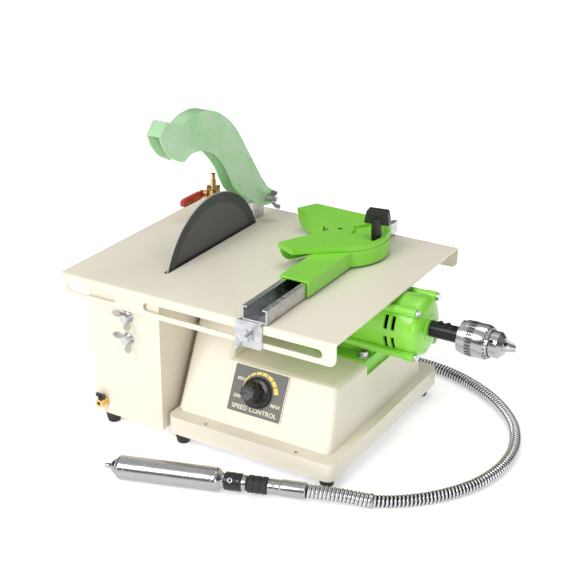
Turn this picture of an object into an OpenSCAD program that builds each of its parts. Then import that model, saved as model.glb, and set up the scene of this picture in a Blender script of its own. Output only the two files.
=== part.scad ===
// Bench cabbing machine: a double-ended motor drives a saw blade in a water
// tank at the left and a keyed chuck at the right, under a sheet-metal table
// with a sliding rail, a V fence, a lifting guard and a flexible shaft.
// Origin: on the floor under the middle of the table. +X right, +Y back, +Z up.

/* [Table] */
// Width of the table
table_w = 350; // [320:5:430]
// Depth of the table
table_d = 300; // [270:5:370]
// Height of the table's top above the floor
table_h = 180; // [170:2:230]
// Thickness of the table sheet
sheet = 2; // [1.5:0.5:3]
// Depth of the front flange
front_flange = 26; // [22:1:34]
// Depth of the rear flange
rear_flange = 26; // [20:1:34]
// Height of the clamp slots in the flanges
clamp_slot_h = 10; // [8:1:12]
// Drop of the clamp slots below the table's top
clamp_slot_drop = 15; // [13:1:17]

/* [Spindle] */
// Place of the spindle axis behind the middle of the table
axis_y = 5; // [0:1:15]
// Drop of the spindle axis below the table's top
axis_drop = 37; // [36:1:46]
// Diameter of the spindle
spindle_d = 12; // [10:1:14]
// Outer diameter of the ball bearings
bearing_od = 28; // [24:1:32]
// Width of the ball bearings
bearing_w = 8; // [7:1:10]

/* [Blade] */
// Diameter of the saw blade
blade_d = 200; // [160:5:205]
// Thickness of the blade's core
blade_t = 1.2; // [1:0.1:2]
// Width of the diamond rim
rim_w = 14; // [8:1:20]
// Place of the blade left of the table's middle
blade_x = 73; // [70:1:76]
// Diameter of the clamping flanges
blade_flange_d = 56; // [40:2:64]
// Width of the blade slot in the table
blade_slot_w = 6; // [5:1:9]

/* [Water tank] */
// Width of the water tank
tank_w = 95; // [92:1:110]
// Length of the water tank from front to back
tank_d = 262; // [250:2:285]
// Thickness of the tank's walls
tank_wall = 3; // [2:0.5:4]

/* [Base] */
// Width of the base's foot rim
rim_base_w = 209; // [200:1:220]
// Length of the base's foot rim
rim_base_d = 265; // [255:1:285]
// Height of the foot rim
rim_base_h = 21; // [16:1:26]
// Thickness of the base's walls
base_wall = 3; // [2.5:0.5:4]
// Width of the tower that carries the table
tower_w = 54; // [48:1:60]
// Height of the rubber feet
foot_h = 15; // [12:1:20]

/* [Motor] */
// Radius of the motor housing
motor_r = 33.5; // [30:0.5:34]
// Length of the motor housing between its end caps
motor_l = 128; // [110:1:132]
// Half the spacing of the motor's through bolts
bolt_half = 26; // [24:0.5:27]
// Thickness of the motor's mounting foot
foot_plate = 16; // [12:1:20]

/* [Chuck] */
// Diameter of the chuck's sleeve
chuck_d = 38; // [36:1:44]
// Length of the chuck's sleeve
chuck_l = 28; // [26:1:34]
// Angle of the jaws to the chuck's axis
jaw_angle = 13; // [11:1:14]

/* [Rail and fence] */
// Width of the rail
rail_w = 30; // [26:1:34]
// Height of the rail
rail_h = 15.8; // [14:0.2:19]
// Place of the rail right of the table's middle
rail_x = 80; // [74:1:84]
// Length of the fence's arms
arm_l = 80; // [70:1:88]
// Width of the fence's arms
arm_w = 28; // [22:1:32]
// Angle at which the fence is set
fence_set = 19; // [10:0.5:24]
// Radius of the guide's half disc
disc_r = 58; // [54:1:62]

/* [Guard] */
// Width of the blade guard over its cheeks
guard_w = 18; // [16:1:22]
// Thickness of the guard's skin
guard_t = 2; // [1.5:0.5:2.5]

/* [Speed control] */
// Diameter of the speed knob's skirt
knob_d = 35; // [28:1:36]
// Length of the speed knob
knob_l = 25; // [15:1:28]
// Width of the speed label
label_w = 69; // [60:1:72]
// Height of the speed label along the slope
label_h = 54; // [48:1:56]

/* [Handpiece and shaft] */
// Diameter of the handpiece's barrel
barrel_d = 26; // [22:1:28]
// Length of the handpiece's barrel
barrel_l = 115; // [100:1:125]
// Diameter of the flexible shaft's hose
hose_d = 14; // [12:0.5:15]

/* [Hidden] */
$fn = 48;
run = 0.08;             // running clearance on radius
fit = 0.05;             // close clearance on radius
slide_gap = 0.3;        // clearance beside sliding pieces
big = 400;

// table
table_z = table_h - sheet;
flange_y = table_d / 2;
slot_z = table_h - clamp_slot_drop;
left_slot = [-165, -99];
right_slot = [-62, 159.5];

// spindle
axis_z = table_h - axis_drop;
spindle_r = spindle_d / 2;
bx = -blade_x;
blade_r = blade_d / 2;
rim_t = blade_t + 0.4;
chord = sqrt(pow(blade_r, 2) - pow(axis_drop, 2));
slot_end_gap = 4;
blade_flange_t = 6;
blade_nut_t = 8;
spindle_x0 = bx - blade_t / 2 - blade_flange_t - blade_nut_t - 3;

// tank
tank_x1 = -44;
tank_x0 = tank_x1 - tank_w;
tank_y0 = -flange_y + 4;
tank_y1 = tank_y0 + tank_d;
tank_z0 = foot_h;
tank_top = table_z - 6.5;
tank_screw_x = -86;
tank_screw_z = [slot_z - 19.5, slot_z - 46];
hanger_t = 2;
drain_x = -126;
drain_z = tank_z0 + 15;

// base
base_x0 = -38;
base_x1 = base_x0 + rim_base_w;
base_y0 = -flange_y + 4;
base_y1 = base_y0 + rim_base_d;
base_z0 = foot_h;
ledge_z = base_z0 + rim_base_h;
deck_z = axis_z - motor_r - 9.5;
body_x0 = base_x0 + 2;
body_x1 = base_x1 - 12;
body_y0 = base_y0 + 18;
body_y1 = base_y1 - 21;
front_slope = 0.477;
rear_slope = 0.05;
side_slope = 0.14;
tower_x1 = body_x0 + tower_w;
plate_t = 3;
hole_dx = 114.5;
hole_x = 10;
hole_y0 = base_y0 + 7;
hole_y1 = base_y1 - 10;
hole_r = 2.6;
screw_spots = [[hole_x + 30, base_y0 + 9], [hole_x + hole_dx - 30, base_y0 + 9],
               [hole_x + 30, base_y1 - 9], [hole_x + hole_dx - 30, base_y1 - 9]];
stud_in = [17.266, 17.9]; // from the front and rear walls' inner faces at the top
stud_y0 = front_y(table_z, base_wall) + stud_in[0];
stud_y1 = rear_y(table_z, base_wall) - stud_in[1];
stud_spots = [[body_x0 + 12, stud_y0], [tower_x1 - 12, stud_y0], [body_x0 + 12, stud_y1], [tower_x1 - 12, stud_y1]];
stud_r = 2.5;

// motor
motor_x1 = 190;
motor_x0 = motor_x1 - motor_l;
cap_l = 19;
boss_l = 12.5;
cap_x1 = motor_x1 + cap_l;
cap_x0 = motor_x0 - cap_l;
cap_r = motor_r + 0.4;
motor_wall = 3;
bearing_r = bearing_od / 2;
front_bearing_x = cap_x1 - 5 - bearing_w;
rear_bearing_x = cap_x0 + 5;
tower_bearing_x = body_x0 + 5;
recess_z = deck_z + 2 - foot_plate;
recess_x0 = motor_x0 - 2;
foot_y0 = axis_y - 36;
foot_y1 = axis_y + 36;
foot_x1 = body_x1 - side_slope * (deck_z - ledge_z) - 1;
mount_x = [motor_x0 + 10, foot_x1 - 8];
mount_y = [foot_y0 + 10, foot_y1 - 10];
coil_y = motor_r - 8;
coil_h = 10.7;
stator_r0 = motor_r - 11.3;
armature_r = motor_r - 11.9;
fan_r = motor_r - 5.5;
fan_x = motor_x1 - 26;
saddle_w = 32;

// chuck
adaptor_r = 9;
adaptor_x0 = cap_x1 + 0.6;
adaptor_x1 = adaptor_x0 + 35;
chuck_r = chuck_d / 2;
core_r = chuck_r - 3.5;
nose_r = 14.5;
sleeve_x0 = adaptor_x1 + 5;
sleeve_x1 = sleeve_x0 + chuck_l;
nose_x1 = sleeve_x1 + 16;
jaw_tip_x = nose_x1 + 13;
jaw_r = 2.6;
jaw_l = 38;
jaw_tip_r = 1.6;

// rail, guide and fence
tab_t = 1.6;
rail_z0 = table_h + 0.2 + tab_t;
rail_t = 1.8;
rail_lip = 6;
rail_x0 = rail_x - rail_w / 2;
rail_x1 = rail_x + rail_w / 2;
rail_z1 = rail_z0 + rail_h;
clamp_x = rail_x - 6;
clamp_w = 32;
clamp_bolt_x = rail_x - 7;
clamp_plate_y = flange_y + 0.3;
clamp_t = 2;
guide_t = 2.6;
guide_z1 = rail_z1 + slide_gap + guide_t;
guide_y0 = -70;
guide_y1 = 128;
disc_c = [rail_x - 20, 70];
pivot_r = 3;
fence_z0 = guide_z1 + 0.3;
fence_z1 = fence_z0 + 6;
fence_hub = disc_r - 1;
knob_pos = [disc_c[0] + 45, disc_c[1] + 3];
vee_u = 5;
web_t = 3;
web_z0 = table_h + 3;

// guard
pivot_y = 112;
pivot_z = table_h + 28;
plate_x1 = bx - 3;
plate_w = 22;
plate_rise = 50;
guard_x0 = bx - guard_w / 2;
guard_x1 = bx + guard_w / 2;
guard_back = [[-14, 31], [-32, 56], [-50, 81], [-68, 105], [-89, 124], [-112, 137], [-135, 143], [-158, 142], [-176, 136]];
guard_belly = [[-212, 122], [-200, 108], [-187, 100], [-175, 95], [-166, 98], [-157, 100], [-139, 98], [-120, 91],
               [-105, 79], [-90, 62], [-76, 38], [-64, 25], [-40, 10], [-18, -6]];
guard_tip = [[-178, 137], [-204, 148], [-217, 134]];

// valve
valve_p = [-130, 92];
valve_stem_z = table_h + 24;
valve_r = 8.5;
lever_l = 46;

// speed control
knob_x = 59;
knob_z = ledge_z + 38.5;
slope_a = atan(front_slope);

// flexible shaft and handpiece, lying on the floor
tool_a = 17.8;
tool_tail = [154, -167.6];
hose_r = hose_d / 2;
tool_z = barrel_d / 2;
ferrule_l = 41;
grip_l = 23;
collar_l = 27;
// Points along the hose's middle, from the drive end to the handpiece
hose_route = [[-118, 160, 7], [-80, 161, 7], [-40, 163, 7], [0, 165, 7], [40, 166, 7], [80, 167, 7], [120, 167, 7],
              [156, 164, 7], [186, 156, 7], [214, 143, 7], [241, 126, 7], [265, 104, 7], [284, 80, 7], [297, 54, 7],
              [305, 26, 7], [307, -4, 7], [303, -34, 7], [293, -63, 7], [275, -92, 7], [250, -119, 7],
              [219, -141, 8], [187, -154, 11], [154, -167.6, 13]];

cream = [0.93, 0.91, 0.85];
lime = [0.5, 0.85, 0.28];
steel = [0.72, 0.73, 0.75];
dark = [0.12, 0.12, 0.13];
brass = [0.8, 0.62, 0.28];

// ---- plain shapes ----
module block(a, b) translate(a) cube(b - a);
module xcyl(x0, x1, r, y = axis_y, z = axis_z) translate([x0, y, z]) rotate([0, 90, 0]) cylinder(h = x1 - x0, r = r);
module ycyl(y0, y1, r, x, z) translate([x, y1, z]) rotate([90, 0, 0]) cylinder(h = y1 - y0, r = r);
module zcyl(z0, z1, r, x, y) translate([x, y, z0]) cylinder(h = z1 - z0, r = r);
module xtube(x0, x1, r, bore) difference() {
    xcyl(x0, x1, r);
    xcyl(x0 - 1, x1 + 1, bore);
}
module hexnut(h, r, bore) difference() {
    cylinder(h = h, r = r, $fn = 6);
    translate([0, 0, -1]) cylinder(h = h + 2, r = bore);
}
// rectangle with round corners
module rrect(a, b, r) {
    translate([a[0] + r, a[1]]) square([b[0] - a[0] - 2 * r, b[1] - a[1]]);
    translate([a[0], a[1] + r]) square([b[0] - a[0], b[1] - a[1] - 2 * r]);
    for (x = [a[0] + r, b[0] - r], y = [a[1] + r, b[1] - r]) translate([x, y]) circle(r = r);
}
// slot along X with round ends, in the X-Z plane, cut from y0 to y1
module xslot(x0, x1, z, h, y0, y1) {
    block([x0 + h / 2, y0, z - h / 2], [x1 - h / 2, y1, z + h / 2]);
    for (x = [x0 + h / 2, x1 - h / 2]) ycyl(y0, y1, h / 2, x, z);
}
// prism of a Y-Z outline from x0 to x1
module yz_prism(points, x0, x1) translate([x0, 0, 0]) rotate([90, 0, 90]) linear_extrude(x1 - x0) polygon(points);
// prism of an X-Z outline from y0 to y1
module xz_prism(points, y0, y1) translate([0, y1, 0]) rotate([90, 0, 0]) linear_extrude(y1 - y0) polygon(points);
// solid of revolution about the spindle, outline as [radius, x]
module xturn(points) translate([0, axis_y, axis_z]) rotate([0, 90, 0]) rotate_extrude($fn = 72) polygon(points);
function arc(c, r, a0, a1, n) = [for (i = [0:n]) let (a = a0 + (a1 - a0) * i / n) c + r * [cos(a), sin(a)]];
// smooth curve through points (Catmull-Rom), n steps a span
function knot(p, i) = p[max(0, min(len(p) - 1, i))];
function smooth(p, n) = [for (i = [0:len(p) - 2], k = [0:n - 1]) let (t = k / n,
    a = knot(p, i - 1), b = p[i], c = p[i + 1], d = knot(p, i + 2))
    0.5 * (2 * b + (c - a) * t + (2 * a - 5 * b + 4 * c - d) * t * t + (3 * b - a - 3 * c + d) * t * t * t),
    p[len(p) - 1]];

// ---- base ----
function front_y(z, t) = body_y0 + t + front_slope * (z - ledge_z);
function rear_y(z, t) = body_y1 - t - rear_slope * (z - ledge_z);
function side_x(z, t) = body_x1 - t - side_slope * (z - ledge_z);
// sloping body above the foot rim, shrunk by t
module body_form(t, z0) intersection() {
    yz_prism([[front_y(z0, t), z0], [rear_y(z0, t), z0], [rear_y(table_z - t, t), table_z - t],
              [front_y(table_z - t, t), table_z - t]], body_x0 + t, body_x1 + 5);
    xz_prism([[body_x0 + t, z0], [side_x(z0, t), z0], [side_x(deck_z - t, t), deck_z - t], [tower_x1 - t, deck_z - t],
              [tower_x1 - t, table_z - t], [body_x0 + t, table_z - t]], base_y0, base_y1);
}
module motor_recess(t) block([recess_x0 - t, foot_y0 - 0.5 - t, recess_z - t],
                             [base_x1, foot_y1 + 0.5 + t, deck_z + 1]);
module base_shell() color(cream) {
    difference() {
        union() {
            translate([0, 0, base_z0]) linear_extrude(rim_base_h) rrect([base_x0, base_y0], [base_x1, base_y1], 9);
            body_form(0, ledge_z - 1);
        }
        difference() {
            union() {
                translate([0, 0, base_z0 - 1]) linear_extrude(rim_base_h + 1 - base_wall)
                    rrect([base_x0 + base_wall, base_y0 + base_wall], [base_x1 - base_wall, base_y1 - base_wall], 6);
                body_form(base_wall, base_z0);
            }
            motor_recess(base_wall);
            for (p = screw_spots) zcyl(base_z0 + plate_t + 0.05, ledge_z, 4, p[0], p[1]);
        }
        motor_recess(0);
        xcyl(tower_x1 - 5, tower_x1 + 5, bearing_r + 3);
        xcyl(body_x0 - 5, body_x0 + 5, bearing_r + 2);
        for (x = mount_x, y = mount_y) zcyl(recess_z - 10, recess_z + 10, 3.3, x, y);
        for (p = stud_spots) zcyl(table_z - 10, table_z + 1, stud_r + 0.4, p[0], p[1]);
        for (x = [hole_x, hole_x + hole_dx], y = [hole_y0, hole_y1]) zcyl(ledge_z - 10, ledge_z + 1, hole_r, x, y);
        for (p = screw_spots) zcyl(base_z0 - 1, base_z0 + 14, 1.6, p[0], p[1]);
        on_slope(knob_x, knob_z) translate([0, 0, -10]) cylinder(h = 12, r = 5.2);
        xcyl(tower_x1 - 10, tower_x1 + 10, 6, rear_y(deck_z, 0) - 20, deck_z + 20);
        ycyl(body_y1 - 12, body_y1 + 5, 6.2, 90, ledge_z + 22);
    }
}
module bottom_plate() color(steel) difference() {
    translate([0, 0, base_z0]) linear_extrude(plate_t)
        rrect([base_x0 + base_wall + 0.3, base_y0 + base_wall + 0.3],
              [base_x1 - base_wall - 0.3, base_y1 - base_wall - 0.3], 5.7);
    for (x = [hole_x, hole_x + hole_dx], y = [hole_y0, hole_y1]) zcyl(base_z0 - 1, base_z0 + 5, hole_r, x, y);
    for (p = screw_spots) zcyl(base_z0 - 1, base_z0 + 5, 1.7, p[0], p[1]);
}
module cover_screws() color(steel) for (p = screw_spots) {
    zcyl(base_z0 - 2.4, base_z0 - 0.05, 3.4, p[0], p[1]);
    zcyl(base_z0 - 0.05, base_z0 + 12, 1.5, p[0], p[1]);
}
foot_spots = [[tank_x0 + 17, tank_y0 + 12], [tank_x1 - 17, tank_y0 + 50], [tank_x0 + 17, tank_y1 - 14],
              [tank_x1 - 17, tank_y1 - 14], [base_x0 + 12, base_y0 + 14], [base_x1 - 15, base_y0 + 18],
              [base_x0 + 12, base_y1 - 14], [base_x1 - 15, base_y1 - 14]];
module rubber_feet() color(dark) {
    for (p = foot_spots) difference() {
        translate([p[0], p[1], 0]) cylinder(h = foot_h, r1 = 7, r2 = 10.5);
        zcyl(-1, 5, 3, p[0], p[1]);
    }
    // plain foot under the tower, at the origin
    cylinder(h = foot_h, r1 = 7, r2 = 10.5);
}

// ---- water tank ----
module water_tank() color(cream) difference() {
    block([tank_x0, tank_y0, tank_z0], [tank_x1, tank_y1, tank_top]);
    block([tank_x0 + tank_wall, tank_y0 + tank_wall, tank_z0 + tank_wall],
          [tank_x1 - tank_wall, tank_y1 - tank_wall, table_z + 1]);
    xcyl(tank_x1 - 10, tank_x1 + 1, bearing_r - 3);
    for (z = tank_screw_z) ycyl(tank_y0 - 1, tank_y0 + 10, 3.3, tank_screw_x, z);
    ycyl(tank_y0 - 1, tank_y0 + 10, 5, drain_x, drain_z);
}
module drain_cock() color(brass) difference() {
    union() {
        ycyl(tank_y0 - 10, tank_y0 + tank_wall + 5, 4.9, drain_x, drain_z);
        ycyl(tank_y0 - 3, tank_y0 - 0.1, 7, drain_x, drain_z);
        translate([drain_x, tank_y0 + tank_wall + 4.1, drain_z]) rotate([90, 0, 0]) hexnut(4, 8, 4.9);
    }
    ycyl(tank_y0 - 20, tank_y0 + 40, 2.2, drain_x, drain_z);
    zcyl(drain_z - 4, drain_z + 9, 3 + run, drain_x, tank_y0 - 6);
}
module drain_handle() color(dark) {
    difference() {
        zcyl(drain_z - 3.9, drain_z + 7.6, 3, drain_x, tank_y0 - 6);
        xcyl(drain_x - 5, drain_x + 5, 1.8, tank_y0 - 6, drain_z);
    }
    block([drain_x - 5.6, tank_y0 - 7.5, drain_z + 7.4], [drain_x + 5.6, tank_y0 - 4.5, drain_z + 11]);
}
// winged bolt: axis along -Y from the origin, shank of length l behind it
module wing_bolt(l, turn) {
    rotate([90, 0, 0]) {
        translate([0, 0, -l]) cylinder(h = l + 2, r = 2.9);
        cylinder(h = 1.4, r = 7);
        translate([0, 0, 1.4]) cylinder(h = 7, r = 5);
        wings(turn);
    }
}
// two plate wings about +Z, standing on a hub 5 mm in radius
module wings(turn) rotate([0, 0, turn]) rotate([90, 0, 0]) translate([0, 0, -1]) linear_extrude(2) for (s = [-1, 1]) {
    polygon([[0, 3], [s * 6, 3], [s * 13, 8], [s * 14.2, 13], [s * 11, 15.4], [s * 7, 14], [s * 4.3, 7.9], [0, 7.9]]);
    translate([s * 10.6, 12.4]) circle(r = 3.6);
}
module tank_wing_bolt(i) color(steel) translate([tank_screw_x, tank_y0 - 0.3, tank_screw_z[i]])
    wing_bolt(tank_wall + hanger_t + 6, -45);
module tank_wing_bolt_1() tank_wing_bolt(0);
module tank_wing_bolt_2() tank_wing_bolt(1);

// ---- table ----
bend = 3;
function flange_outline(s, drop) = concat(arc([s * (flange_y - bend), table_h - bend], bend, 90, 90 - s * 90, 6),
    [[s * flange_y, table_h - drop], [s * (flange_y - sheet), table_h - drop]],
    arc([s * (flange_y - bend), table_h - bend], bend - sheet, 90 - s * 90, 90, 6));
module table_top() color(cream) {
    difference() {
        union() {
            block([-table_w / 2, -flange_y + bend, table_z], [table_w / 2, flange_y - bend, table_h]);
            yz_prism(flange_outline(-1, front_flange), -table_w / 2, table_w / 2);
            yz_prism(flange_outline(1, rear_flange), -table_w / 2, table_w / 2);
        }
        block([bx - blade_slot_w / 2, axis_y - chord - slot_end_gap, table_z - 1],
              [bx + blade_slot_w / 2, axis_y + chord + slot_end_gap, table_h + 1]);
        for (s = [left_slot, right_slot]) xslot(s[0], s[1], slot_z, clamp_slot_h, -flange_y - 1, -flange_y + sheet + 1);
        xslot(right_slot[0], right_slot[1], min(slot_z, table_h - 10), clamp_slot_h, flange_y - sheet - 1, flange_y + 1);
        for (s = [-1, 1]) {
            corner_cut(s, front_flange);
            mirror([0, 1, 0]) corner_cut(s, rear_flange);
        }
        zcyl(table_z - 1, table_h + 1, 6.3, valve_p[0], valve_p[1]);
        for (x = bracket_holes) zcyl(table_z - 1, table_h + 1, 2.2, x, pivot_y);
    }
    for (p = stud_spots) zcyl(table_z - 14, table_z, stud_r, p[0], p[1]);
    difference() {
        block([tank_screw_x - 28, tank_y0 + tank_wall + 0.4, tank_screw_z[1] - 12],
              [tank_screw_x + 28, tank_y0 + tank_wall + 0.4 + hanger_t, table_z]);
        for (z = tank_screw_z) ycyl(tank_y0, tank_y0 + 12, 2.9 + run, tank_screw_x, z);
    }
}
// rounds a lower corner of a flange
module corner_cut(s, flange_low) difference() {
    block([s * table_w / 2 - 8, -flange_y - 1, table_h - flange_low - 1],
          [s * table_w / 2 + 8, -flange_y + sheet + 0.5, table_h - flange_low + 8]);
    ycyl(-flange_y - 2, -flange_y + sheet + 1, 8, s * (table_w / 2 - 8), table_h - flange_low + 8);
    block([s * (table_w / 2 - 8) - 8 * (1 + s) - (s < 0 ? 0 : 1), -flange_y - 2, table_h - flange_low - 2],
          [s * (table_w / 2 - 8) + 8 * (1 - s) + (s < 0 ? 1 : 0), -flange_y + sheet + 1, table_h]);
}
module lock_nuts() color(steel) for (p = stud_spots) translate([p[0], p[1], table_z - base_wall - 4.6])
    hexnut(4.5, 4.6, stud_r + fit);

// ---- motor ----
module bolt_bosses(x0, x1, r) for (y = [-1, 1], z = [-1, 1]) {
    xcyl(x0, x1, r, axis_y + y * bolt_half, axis_z + z * bolt_half);
    translate([x0 + 0.6, axis_y, axis_z]) rotate([atan2(z, y), 0, 0]) translate([0, motor_r - 4, -3])
        cube([x1 - x0 - 1.2, bolt_half * sqrt(2) - motor_r + 4, 6]);
}
module bolt_holes(x0, x1) for (y = [-1, 1], z = [-1, 1])
    xcyl(x0, x1, 2.1, axis_y + y * bolt_half, axis_z + z * bolt_half);
module motor_housing() color(lime) difference() {
    union() {
        xcyl(motor_x0, motor_x1, motor_r);
        bolt_bosses(motor_x0, motor_x1, 4.6);
        block([motor_x0, foot_y0, recess_z + 0.05], [foot_x1, foot_y1, deck_z + 2]);
        block([motor_x0 + 3, axis_y - saddle_w / 2, deck_z + 1], [foot_x1 - 3, axis_y + saddle_w / 2, axis_z - 24]);
    }
    xcyl(motor_x0 - 1, motor_x1 + 1, motor_r - motor_wall);
    bolt_holes(motor_x0 - 1, motor_x1 + 1);
    for (x = [motor_x1 - 23, motor_x1 - 14.5], z = [axis_z - 20.5, axis_z + 3]) {
        block([x, axis_y - motor_r - 5, z], [x + 4.5, axis_y - 12, z + 15]);
        block([x, axis_y + 12, z], [x + 4.5, axis_y + motor_r + 5, z + 15]);
    }
    for (x = mount_x, y = mount_y) {
        zcyl(recess_z - 1, deck_z + 3, 3.2, x, y);
        zcyl(deck_z + 2, deck_z + 12, 8, x, y);
    }
    block([motor_x0 + 8, foot_y0 + 22, recess_z - 1], [foot_x1 - 8, foot_y1 - 22, deck_z - 4]);
}
// end cap as a turned dome: face at xf, rim at xr, s = +1 to the right
module end_cap(xr, s) difference() {
    union() {
        xturn(concat([[8, xr + s * cap_l], [13, xr + s * cap_l]],
            [for (a = [0:6]) [13 + (cap_r - 13) * sin(a * 15), xr + s * (8 + (cap_l - 9) * cos(a * 15))]],
            [[cap_r, xr + s * 0.1], [motor_r - motor_wall, xr + s * 0.1], [motor_r - motor_wall, xr + s * 5],
             [bearing_r + 3, xr + s * 12], [bearing_r + 3, xr + s * (cap_l - 5 - bearing_w)],
             [bearing_r + fit, xr + s * (cap_l - 5 - bearing_w)], [bearing_r + fit, xr + s * (cap_l - 5 + 0.1)],
             [8, xr + s * (cap_l - 5 + 0.1)]]));
        bolt_bosses(min(xr + s * 0.1, xr + s * boss_l), max(xr + s * 0.1, xr + s * boss_l), 5.4);
    }
    bolt_holes(xr - 30, xr + 30);
    xcyl(xr - 30, xr + 30, bearing_r);
}
module cap_ring(xr, s) xturn([[8, xr + s * cap_l], [bearing_r + 1, xr + s * cap_l],
    [bearing_r + 1, xr + s * (cap_l - 4.8)], [8, xr + s * (cap_l - 4.8)]]);
module front_end_cap() color(lime) {
    end_cap(motor_x1, 1);
    cap_ring(motor_x1, 1);
}
module rear_end_cap() color(lime) {
    end_cap(motor_x0, -1);
    cap_ring(motor_x0, -1);
    for (s = [-1, 1]) difference() {
        block([motor_x0 - 11, axis_y + (s > 0 ? 20 : 5 - motor_r), axis_z - 6],
              [motor_x0 + 19, axis_y + (s > 0 ? motor_r - 5 : -20), axis_z + 6]);
        block([motor_x0 + 8.8, axis_y + (s > 0 ? 10 : -40), axis_z - 3.7], [motor_x0 + 16.2, axis_y + (s > 0 ? 40 : -10), axis_z + 3.7]);
    }
}
module through_bolts() color(steel) for (y = [-1, 1], z = [-1, 1]) {
    xcyl(motor_x0 - boss_l - 3.5, motor_x1 + boss_l + 0.05, 2, axis_y + y * bolt_half, axis_z + z * bolt_half);
    xcyl(motor_x1 + boss_l + 0.05, motor_x1 + boss_l + 3, 4, axis_y + y * bolt_half, axis_z + z * bolt_half);
    translate([motor_x0 - boss_l - 3.5, axis_y + y * bolt_half, axis_z + z * bolt_half]) rotate([0, 90, 0])
        cylinder(h = 3.4, r = 4, $fn = 6);
}
module mount_bolts() color(steel) for (x = mount_x, y = mount_y) {
    zcyl(recess_z - base_wall - 7, deck_z + 3.4, 3, x, y);
    zcyl(deck_z + 2.05, deck_z + 3.4, 7, x, y);
    difference() {
        zcyl(deck_z + 3.4, deck_z + 9.4, 5, x, y);
        translate([x, y, deck_z + 6]) cylinder(h = 4, r = 2.9, $fn = 6);
    }
    translate([x, y, recess_z - base_wall - 5.1]) cylinder(h = 5, r = 5.7, $fn = 6);
}
module stator_core() color(steel) difference() {
    xtube(motor_x0 + 26, motor_x0 + 96, motor_r - motor_wall - fit, stator_r0);
    for (s = [-1, 1]) translate([motor_x0 + 25, axis_y + s * coil_y - 3, axis_z - coil_h - 0.5]) cube([72, 6, 2 * coil_h + 1]);
}
module field_coils() color([0.72, 0.38, 0.16]) for (s = [-1, 1])
    block([motor_x0 + 22, axis_y + s * coil_y - 2.8, axis_z - coil_h], [motor_x0 + 100, axis_y + s * coil_y + 2.8, axis_z + coil_h]);
module carbon_brushes() color([0.2, 0.2, 0.22]) for (s = [-1, 1]) {
    block([motor_x0 + 9, axis_y + (s > 0 ? 11.4 : -24), axis_z - 3.5], [motor_x0 + 16, axis_y + (s > 0 ? 24 : -11.4), axis_z + 3.5]);
}
module bearing(x) xtube(x, x + bearing_w, bearing_r, spindle_r + run);
module ball_bearings() color(steel) for (x = [rear_bearing_x, front_bearing_x, tower_bearing_x]) bearing(x);
module bearing_support() color(steel) difference() {
    union() {
        xcyl(body_x0 - 3.1, body_x0 - 0.1, bearing_r + 9);
        xcyl(body_x0 - 1, tower_bearing_x + bearing_w + 2, bearing_r + 1.9);
    }
    xcyl(tower_bearing_x, tower_bearing_x + bearing_w + 5, bearing_r + fit);
    xcyl(body_x0 - 10, tower_bearing_x + 5, spindle_r + 3);
}
module shaft_seal() color(dark) difference() {
    union() {
        xcyl(tank_x1 - tank_wall - 2, tank_x1 - tank_wall - 0.05, bearing_r + 1);
        xcyl(tank_x1 - tank_wall - 1, tank_x1 + 1.5, bearing_r - 3.05);
    }
    xcyl(tank_x1 - 20, tank_x1 + 10, spindle_r + run);
}

// ---- spindle ----
module motor_shaft() color(steel) {
    xcyl(spindle_x0, adaptor_x0 + 24, spindle_r);
}
module armature_core() color([0.45, 0.46, 0.5]) difference() {
    xtube(motor_x0 + 28, motor_x0 + 94, armature_r, spindle_r + 0.02);
    for (a = [0:30:330]) translate([0, axis_y, axis_z]) rotate([a, 0, 0])
        translate([motor_x0 + 20, armature_r - 6, -1]) cube([82, 8, 2]);
}
module commutator() color([0.78, 0.47, 0.25]) xtube(motor_x0 + 6, motor_x0 + 20, 11, spindle_r + 0.02);
module cooling_fan() color(dark) {
    xtube(fan_x, fan_x + 14, 12, spindle_r + 0.02);
    xtube(fan_x, fan_x + 2, fan_r, 11.5);
    for (a = [0:30:330]) translate([0, axis_y, axis_z]) rotate([a, 0, 0])
        translate([fan_x + 1.5, 11.5, -0.8]) cube([12, fan_r - 12, 1.6]);
}
module chuck_adaptor() color(dark) {
    difference() {
        union() {
            xcyl(adaptor_x0, adaptor_x1, adaptor_r);
            xcyl(adaptor_x1 - 0.5, adaptor_x1 + 14, 5);
        }
        xcyl(adaptor_x0 - 1, adaptor_x0 + 24.5, spindle_r + 0.02);
        block([adaptor_x1 - 9, axis_y - 10, axis_z + 7.6], [adaptor_x1 - 2, axis_y + 10, axis_z + 12]);
    }
    for (x = [adaptor_x0 + 10, adaptor_x0 + 19]) zcyl(axis_z + adaptor_r - 0.3, axis_z + adaptor_r + 1.6, 2.4, x, axis_y);
}
// places one jaw's axis: leans towards the chuck's axis at the tip
module jaw_frame(i, back) translate([0, axis_y, axis_z]) rotate([120 * i + 90, 0, 0])
    translate([jaw_tip_x, 0, jaw_tip_r]) rotate([0, -90 + jaw_angle, 0]) translate([0, 0, back]) children();
module chuck_body() color(steel) difference() {
    union() {
        xcyl(adaptor_x1 + 0.05, sleeve_x0 - 0.2, chuck_r - 1.5);
        xcyl(sleeve_x0 - 1, sleeve_x1, core_r);
        xcyl(sleeve_x1 - 1, nose_x1 - 5, nose_r);
        translate([nose_x1 - 5, axis_y, axis_z]) rotate([0, 90, 0]) cylinder(h = 5, r1 = nose_r, r2 = 9.5);
    }
    xcyl(adaptor_x1 - 1, adaptor_x1 + 14.1, 5.02);
    xcyl(adaptor_x1 + 10, nose_x1 + 1, 4.2);
    for (i = [0:2]) jaw_frame(i, -2) cylinder(h = jaw_l + 14, r = jaw_r + run);
    for (i = [0:2]) translate([0, axis_y, axis_z]) rotate([120 * i + 60, 0, 0]) xkeyhole();
}
module xkeyhole() translate([sleeve_x1 + 4.5, 0, 6]) cylinder(h = 20, r = 3);
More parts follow.
